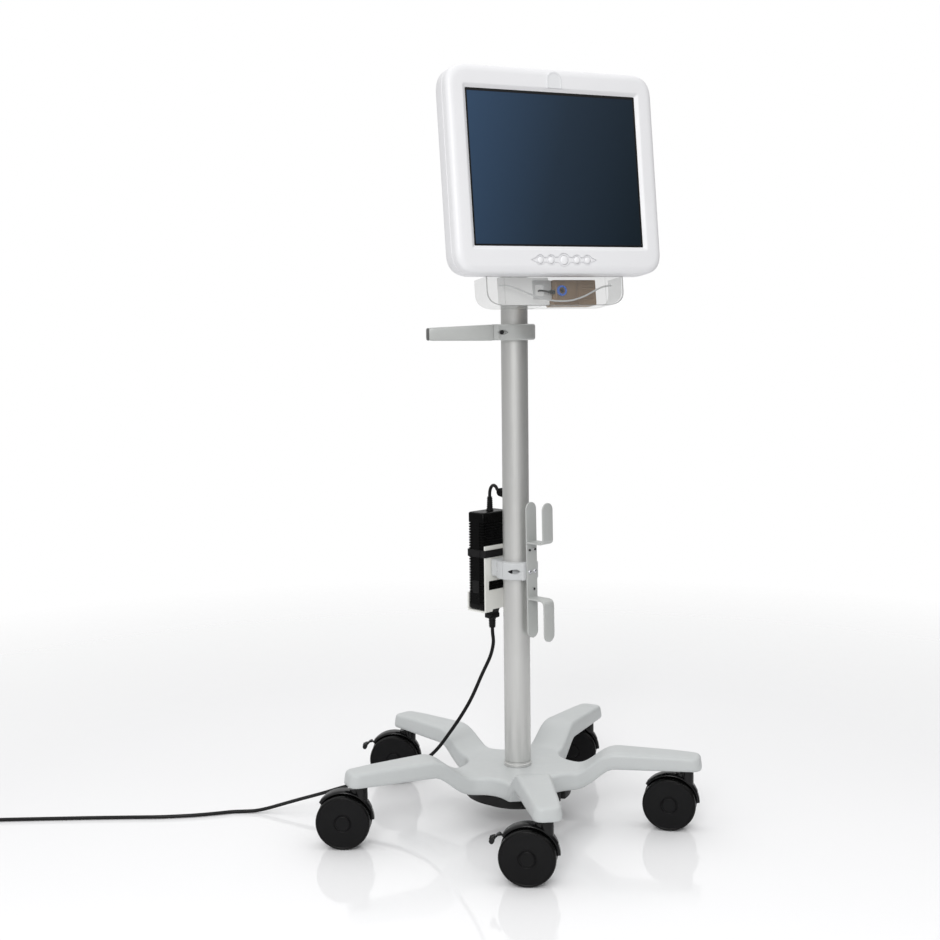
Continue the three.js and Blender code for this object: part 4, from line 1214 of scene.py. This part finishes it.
def make_mount_plate():
    plate = new_object("mount_bracket", slab((-60, 60, -60, 60, 9, 6), 76.4, 79.8), DISPLAY,
                       "cream")
    knuckle = extruded([*arc(100, 0, 11, -90, 90, 24), (79, 11), (79, -11)], -15.4, 15.4, ALONG_X)
    join(plate, knuckle, DISPLAY)
    carve(plate, disc(6.2, -40, 40, 0, 32, ALONG_X, (0, 100, 0)), DISPLAY)
    settle(soften(plate, 0.9, 3, 50), "monitor", "cream_paint", "mount_plate")
    heads = []
    for x, z in SCREW_SPOTS:
        heads.append(turned([(0, 82.2), (2.6, 82.1), (4.2, 81.2), (4.4, 79.9), (0, 79.9)], 28, ALONG_Y,
                            (x, 0, z)))
    screws = new_object("mount_screws", merged(*heads), DISPLAY, "steel")
    cross = [block(-2.4, 2.4, 81.2, 84, -0.45, 0.45), block(-0.45, 0.45, 81.2, 84, -2.4, 2.4)]
    for x, z in SCREW_SPOTS:
        for slot in cross:
            carve(screws, slot, DISPLAY @ Matrix.Translation((x, 0, z)))
    settle(screws, "monitor", "bright_steel")


# ------------------------------------------------------------------ display
CASE_X, CASE_LOW, CASE_HIGH, CASE_CORNER = 204, -184, 177, 40
OPENING_X, OPENING_Z = 168, 136
BEZEL_FRONT, SPLIT = -5.5, 16
CASE_STEPS = 10
BUTTONS = ((-45, 6), (-23.5, 6), (2, 8), (27.5, 6), (49, 6))
BUTTON_Z = -160.5


def case_ring(y, inset):
    """The display's outline at a depth, drawn in by an even amount."""
    corner = max(CASE_CORNER - inset, 3)
    outline = rectangle(-CASE_X + inset, CASE_X - inset, CASE_LOW + inset, CASE_HIGH - inset, corner,
                        CASE_STEPS)
    return at_depth(outline, y)


def opening_ring(y, inset, corner=2.0):
    """The screen's opening at a depth, with as many points as the outline."""
    outline = rectangle(-OPENING_X + inset, OPENING_X - inset, -OPENING_Z + inset, OPENING_Z - inset, corner,
                        CASE_STEPS)
    return at_depth(outline, y)


def button_pocket():
    """Five round seats joined by narrow necks, running out to a point at each end."""
    def edge(sign):
        points = []
        for x, r in BUTTONS:
            seat = 8.9 if r == 6 else 11.6
            start, end = (152, 28) if sign > 0 else (208, 332)
            points += arc(x, BUTTON_Z, seat, start, end, 10)
        return points
    upper, lower = edge(1), edge(-1)
    return [(-63, BUTTON_Z), *upper, (67, BUTTON_Z), *reversed(lower)]


def make_bezel():
    front, split = BEZEL_FRONT, SPLIT
    rings = [opening_ring(*step) for step in ((split - 0.6, 0), (0.2, 0), (-0.5, 0), (-1.0, -0.5),
                                              (front + 1.4, -4.6, 3.6), (front + 0.5, -5.8, 4.2),
                                              (front, -7.6, 5))]
    rings += [case_ring(front + back, inset) for back, inset in
              ((0, 14), (0.3, 11), (1.0, 8), (2.2, 5), (4, 2.6), (6.4, 1), (9.5, 0.2))]
    rings += [case_ring(split - lip, inset) for lip, inset in ((1.3, 0), (1.2, 0.5), (0.6, 0.8), (0.6, 4))]
    bezel = new_object("bezel_moulding", loft(rings, caps=False, closed=True), DISPLAY, "white")
    carve(bezel, extruded(button_pocket(), front - 5, front + 0.9, ALONG_Y), DISPLAY)
    groove = hoop(drawn_in(button_pocket(), -0.7), drawn_in(button_pocket(), 0.9), front - 5, front + 2.4)
    carve(bezel, groove, DISPLAY)
    for x, r in BUTTONS:
        hole = 6.5 if r == 6 else 8.5
        carve(bezel, disc(hole, front - 5, 30, 0, 48, ALONG_Y, (x, 0, BUTTON_Z)), DISPLAY)
    bezel.data.set_sharp_from_angle(angle=math.radians(30))
    even = bezel.modifiers.new("even", "WEIGHTED_NORMAL")
    even.keep_sharp = True
    settle(bezel, "monitor", "white_plastic", "front_bezel")


def make_buttons():
    for number, (x, r) in enumerate(BUTTONS, 1):
        face = BEZEL_FRONT + 0.2
        profile = [(0, face - 1.4)]
        profile += [(r * 0.97 * math.sin(math.radians(a)), face - 1.4 + 2.2 * (1 - math.cos(math.radians(a))))
                    for a in range(10, 91, 10)]
        profile += [(r, face + 1.4), (r, 0.8), (0, 0.8)]
        add(f"button_cap_{number}", turned(profile, 56, ALONG_Y, (x, 0, BUTTON_Z)), DISPLAY, "button",
            f"button_{number}", "white_plastic", f"button_{number}")


def make_badge():
    """The blank tab above the screen: an arch that runs down into the bezel's lip."""
    outline = [*arc(3.5, 156.5, 14.3, 0, 180, 28), (-10.8, 141.6), (17.8, 141.6)]
    tab = new_object("blank_tab", extruded(outline, -7.0, BEZEL_FRONT - 0.1, ALONG_Y), DISPLAY, "tab")
    carve(tab, extruded([*arc(3.5, 156.5, 11.6, 0, 180, 24), (-8.1, 138), (15.1, 138)], -8, -6.4, ALONG_Y),
          DISPLAY)
    settle(soften(tab, 0.5, 3), "monitor", "white_plastic", "badge_tab")


def make_rear_housing():
    s = SPLIT
    rings = [case_ring(*step) for step in (
        (s + 0.5, 4), (s + 0.5, 0.8), (s + 1.1, 0.4), (s + 1.3, 0), (36, 0), (40, 0.6), (44, 1.9), (49, 3.9),
        (54, 6.4), (60, 11), (66, 19), (71, 28), (74.6, 33), (76, 37), (73, 39), (64, 24), (50, 9),
        (s + 2, 4))]
    shell = new_object("rear_moulding", loft(rings, caps=False, closed=True), DISPLAY, "white")
    join(shell, loft([case_ring(y, 36.4) for y in (72.6, 76)]), DISPLAY)
    for side in (-1, 1):
        for row in range(14):
            z = 60 + row * 5.4
            carve(shell, slab((*sorted((side * 80, side * 150)), z, z + 2.6, 1.1, 3), 66, 80), DISPLAY)
    spots = [(x, 0, z) for x in (-150, 150) for z in (-128, 124)]
    for spot in spots:
        carve(shell, disc(4.4, 73.9, 80, 0, 28, ALONG_Y, spot), DISPLAY)
    settle(shell, "monitor", "white_plastic", "rear_housing")
    profile = [(0, 75.6), (2.4, 75.4), (3.6, 74.8), (3.8, 73.9), (0, 73.9)]
    heads = [turned(profile, 24, ALONG_Y, spot) for spot in spots]
    add("housing_screws", merged(*heads), DISPLAY, "steel", "monitor", "bright_steel")


def make_screen():
    """Glass with a printed black border, set back behind the bezel's lip."""
    width, top, foot = 3.4, 4.6, 3.4
    inner = rectangle(-OPENING_X + width, OPENING_X - width, -OPENING_Z + foot, OPENING_Z - top, 0.6, 2)
    outer = rectangle(-173, 173, -140, 140, 1, 2)
    add("screen_border", hoop(outer, inner, 0.05, 0.3), DISPLAY, "border", "monitor", "panel_black")
    # The pane's blue-to-black gradient is a painted reflection.
    add("screen_pane", slab((-172.8, 172.8, -139.8, 139.8, 1, 2), 0.32, 2.4), DISPLAY,
        "screen", "monitor", "screen_glass", "screen_glass")


# ------------------------------------------------------------------ connector tray
TRAY_X, TRAY_HIGH, TRAY_LOW, TRAY_FRONT, TRAY_BACK = 137, -184.5, -236.3, 26, 76


def tray_outline(inset, top=0):
    corners = [(-TRAY_X + inset, TRAY_HIGH + top), (-TRAY_X + inset, TRAY_LOW + inset),
               (TRAY_X - inset, TRAY_LOW + inset), (TRAY_X - inset, TRAY_HIGH + top)]
    return rounded(corners, [0, 38 - inset, 38 - inset, 0], 9)


def make_tray():
    """A trough moulded in clear plastic, open behind, with ribs and a clip under it."""
    shell = new_object("tray_shell", extruded(tray_outline(0), TRAY_FRONT, TRAY_BACK, ALONG_Y), DISPLAY,
                       "clear")
    carve(shell, extruded(tray_outline(2.2, 5), TRAY_FRONT + 2.2, TRAY_BACK + 2, ALONG_Y), DISPLAY)
    parts = [slab((x - 1.2, x + 1.2, -234.5, TRAY_HIGH), 27, 30) for x in (-100, 103)]
    parts.append(extruded(rounded([(-60, -235.4), (-56, -238.4), (-34, -238.4), (-30, -235.4)], 1.2, 3), 27,
                          60, ALONG_Y))
    for part in parts:
        join(shell, part, DISPLAY)
    settle(soften(shell, 0.45, 2, 50), "monitor", "clear_plastic", "clear_tray")
    panel = slab((-104, -3, TRAY_LOW + 4, TRAY_HIGH + 1.5, 3, 4), 50, 51.4)
    # The panel glows: painted light where the head shades it.
    add("frosted_panel", panel, DISPLAY, "frosted", "monitor", "clear_plastic")
    # A darker, more opaque rim along the front edge: painted shade for the dark lines that grazing light
    # draws along clear edges.
    rim = hoop(tray_outline(1.5), tray_outline(-0.2), TRAY_FRONT - 0.5, TRAY_FRONT + 0.9)
    add("tray_rim", rim, DISPLAY, "clear_edge_painted_shade", "monitor", "clear_plastic")


JACK_X, JACK_Z = 15, -208.5


def make_module():
    """The input module: a bronze body and nose that carry the blue jack ring, beside a pale socket block."""
    body = new_object("module_body", slab((2, 90, -233.6, -188, 3, 4), 44, 73.4), DISPLAY,
                      "bronze")
    nose = [at_depth(rectangle(3 - s, 46 + s, -226 - s, -190 + s, 4, 5), y)
            for y, s in ((46, 0), (38, -0.6), (36.4, -1.4), (36, -2.4))]
    join(body, loft(nose), DISPLAY)
    carve(body, disc(5.6, 30, 41, 0, 48, ALONG_Y, (JACK_X, 0, JACK_Z)), DISPLAY)
    for i in range(5):
        groove = slab((62, 84, -196.5 - i * 6.5, -194.9 - i * 6.5, 0.7, 2), 40, 45.4)
        carve(body, groove, DISPLAY)
    carve(body, slab((49, 54, -232, -189, 1, 2), 40, 46), DISPLAY)
    settle(soften(body, 0.8, 2, 50), "monitor", "bronze_plastic", "io_module")
    socket = new_object("module_socket", slab((-36, 1.6, -222, -188, 3, 4), 48, 73.4), DISPLAY,
                        "lead")
    carve(socket, slab((-31, -14, -216, -196, 2, 3), 40, 51), DISPLAY)
    settle(soften(socket, 1.2, 3, 50), "monitor", "white_plastic", "io_module")
    make_jack()


def make_jack():
    centre = (JACK_X, 0, JACK_Z)
    band = [(5.8, 32.4), (6.6, 31.6), (8.8, 31.6), (9.5, 32.6), (9.5, 35.6), (5.8, 35.6), (5.8, 32.4)]
    add("jack_collar", turned(band, 64, ALONG_Y, centre), DISPLAY, "blue", "monitor", "blue_plastic",
        "jack_ring")
    gilt = turned([(4.6, 33.4), (5.6, 33.4), (5.6, 40), (4.6, 40), (4.6, 33.4)], 48, ALONG_Y, centre)
    add("jack_sleeve", gilt, DISPLAY, "gold", "monitor", "bright_steel")
    core = turned([(0, 34.6), (1.4, 34.6), (1.6, 36.4), (4.5, 36.4), (4.5, 40.6), (0, 40.6)], 40, ALONG_Y,
                  centre)
    add("jack_core", core, DISPLAY, "black", "monitor", "black_plastic")


def make_inner_leads():
    lead = [(-24, 50, -207), (-24, 45.5, -207), (-22.5, 42.5, -207.2), (-18, 41, -208), (-10, 40.4, -209.4),
            (-4, 40, -210)]
    short = swept(through(lead, 1.2), ring(1.7, 16), (0, 0, 1))
    boot = moved(turned([(0, -6), (2.4, -6), (2.8, -2), (3.9, -1.4), (4, 4.6), (3.2, 5.4), (0, 5.4)], 28,
                        ALONG_X),
                 Matrix.Translation((-2.6, 40, -210)))
    add("module_lead", merged(short, boot), DISPLAY, "jacket", "monitor", "black_plastic")
    path = [(-108, 34, -199), (-92, 33, -200), (-74, 32.8, -205), (-52, 32.6, -214), (-28, 32.4, -222),
            (0, 32.2, -227), (30, 32.2, -226.5), (56, 32.4, -220), (78, 32.8, -210.5), (96, 33, -203),
            (116, 33, -199.5)]
    thin = swept(through(path, 2), ring(1.6, 16), (0, 1, 0))
    add("thin_lead", thin, DISPLAY, "lead", "monitor", "cord_rubber", "sensor_lead")


# ------------------------------------------------------------------ CAD pieces that stay
KEPT_NODES = {"lcd_panel": "panel", "main_board": "board"}


def dress_kept_nodes():
    for node, key in KEPT_NODES.items():
        slots = bpy.data.objects[node].material_slots
        for slot in slots:
            slot.material = MATERIALS[key]


# ------------------------------------------------------------------ studio
def make_floor():
    """A pale glossy floor that melts into the white room away from the object."""
    surface = Surface("studio_floor").set(roughness=0.06, specular=0.45)
    surface.colour(linear(245, 245, 246))
    distance = surface.node("ShaderNodeVectorMath", operation="LENGTH")
    surface.link(surface.place, distance.inputs[0])
    surface.link(surface.spread(distance.outputs["Value"], 1, 0, 1.1, 2.6), surface.shader.inputs["Alpha"])
    mesh = bpy.data.meshes.new("floor")
    size = 4
    mesh.from_pydata([(-size, -size, 0), (size, -size, 0), (size, size, 0), (-size, size, 0)], [],
                     [(0, 1, 2, 3)])
    floor = bpy.data.objects.new("floor", mesh)
    mesh.materials.append(surface.material)
    bpy.context.scene.collection.objects.link(floor)


def make_room():
    """White where the room shows. As light it is brightest overhead and dimmest to the right."""
    world = bpy.data.worlds.new("white_room")
    world.use_nodes = True
    tree = world.node_tree
    tree.nodes.clear()

    def node(kind, **settings):
        made = tree.nodes.new(kind)
        for key, value in settings.items():
            setattr(made, key, value)
        return made

    def ramp(source, stops):
        made = node("ShaderNodeValToRGB")
        band = made.color_ramp
        while len(band.elements) < len(stops):
            band.elements.new(0.5)
        for element, (place, grey) in zip(band.elements, stops):
            element.position = place
            element.color = (grey, grey, grey, 1)
        tree.links.new(source, made.inputs["Fac"])
        return made.outputs["Color"]

    direction = node("ShaderNodeTexCoord").outputs["Generated"]
    aside = node("ShaderNodeVectorMath", operation="DOT_PRODUCT")
    aside.inputs[1].default_value = (0.455, -0.209, 0)
    tree.links.new(direction, aside.inputs[0])
    across = node("ShaderNodeMath", operation="ADD")
    across.inputs[1].default_value = 0.5
    tree.links.new(aside.outputs["Value"], across.inputs[0])
    sides = ramp(across.outputs["Value"], ((0, 0.42), (0.22, 0.5), (0.5, 0.72), (0.72, 0.5), (0.86, 0.2),
                                           (1, 0.16)))
    split = node("ShaderNodeSeparateXYZ")
    tree.links.new(direction, split.inputs["Vector"])
    overhead = ramp(split.outputs["Z"], ((0.3, 0), (0.62, 1)))
    mix = node("ShaderNodeMix", data_type="RGBA")
    mix.inputs[7].default_value = (1.12, 1.12, 1.12, 1)
    tree.links.new(overhead, mix.inputs["Factor"])
    tree.links.new(sides, mix.inputs[6])
    light, shown = node("ShaderNodeBackground"), node("ShaderNodeBackground")
    tree.links.new(mix.outputs[2], light.inputs["Color"])
    shown.inputs["Color"].default_value = (1, 1, 1, 1)
    seen = node("ShaderNodeMixShader")
    tree.links.new(node("ShaderNodeLightPath").outputs["Is Camera Ray"], seen.inputs["Fac"])
    tree.links.new(light.outputs[0], seen.inputs[1])
    tree.links.new(shown.outputs[0], seen.inputs[2])
    tree.links.new(seen.outputs[0], node("ShaderNodeOutputWorld").inputs["Surface"])
    bpy.context.scene.world = world


def make_light(name, place, aim, size, power):
    data = bpy.data.lights.new(name, "AREA")
    data.shape = "DISK"
    data.size = size
    data.energy = power
    light = bpy.data.objects.new(name, data)
    light.location = place
    light.rotation_euler = (Vector(aim) - Vector(place)).to_track_quat("-Z", "Y").to_euler()
    bpy.context.scene.collection.objects.link(light)


def make_studio():
    make_floor()
    make_room()
    bpy.context.scene.view_settings.view_transform = "Standard"
    make_light("key", place=(-2.2, -3.2, 2.6), aim=(0, 0, 0.8), size=1.6, power=60)


make_camera()
MATERIALS.update(make_materials())
make_cord(make_connector())
make_star()
make_ballast()
make_column()
for leg_name in LEG_NAMES:
    make_caster(leg_name)
make_handle()
make_clamp()
make_hook()
make_bracket()
make_brick()
make_leads()
make_head()
make_mount_plate()
make_bezel()
make_buttons()
make_badge()
make_rear_housing()
make_screen()
make_tray()
make_module()
make_inner_leads()
dress_kept_nodes()
make_studio()
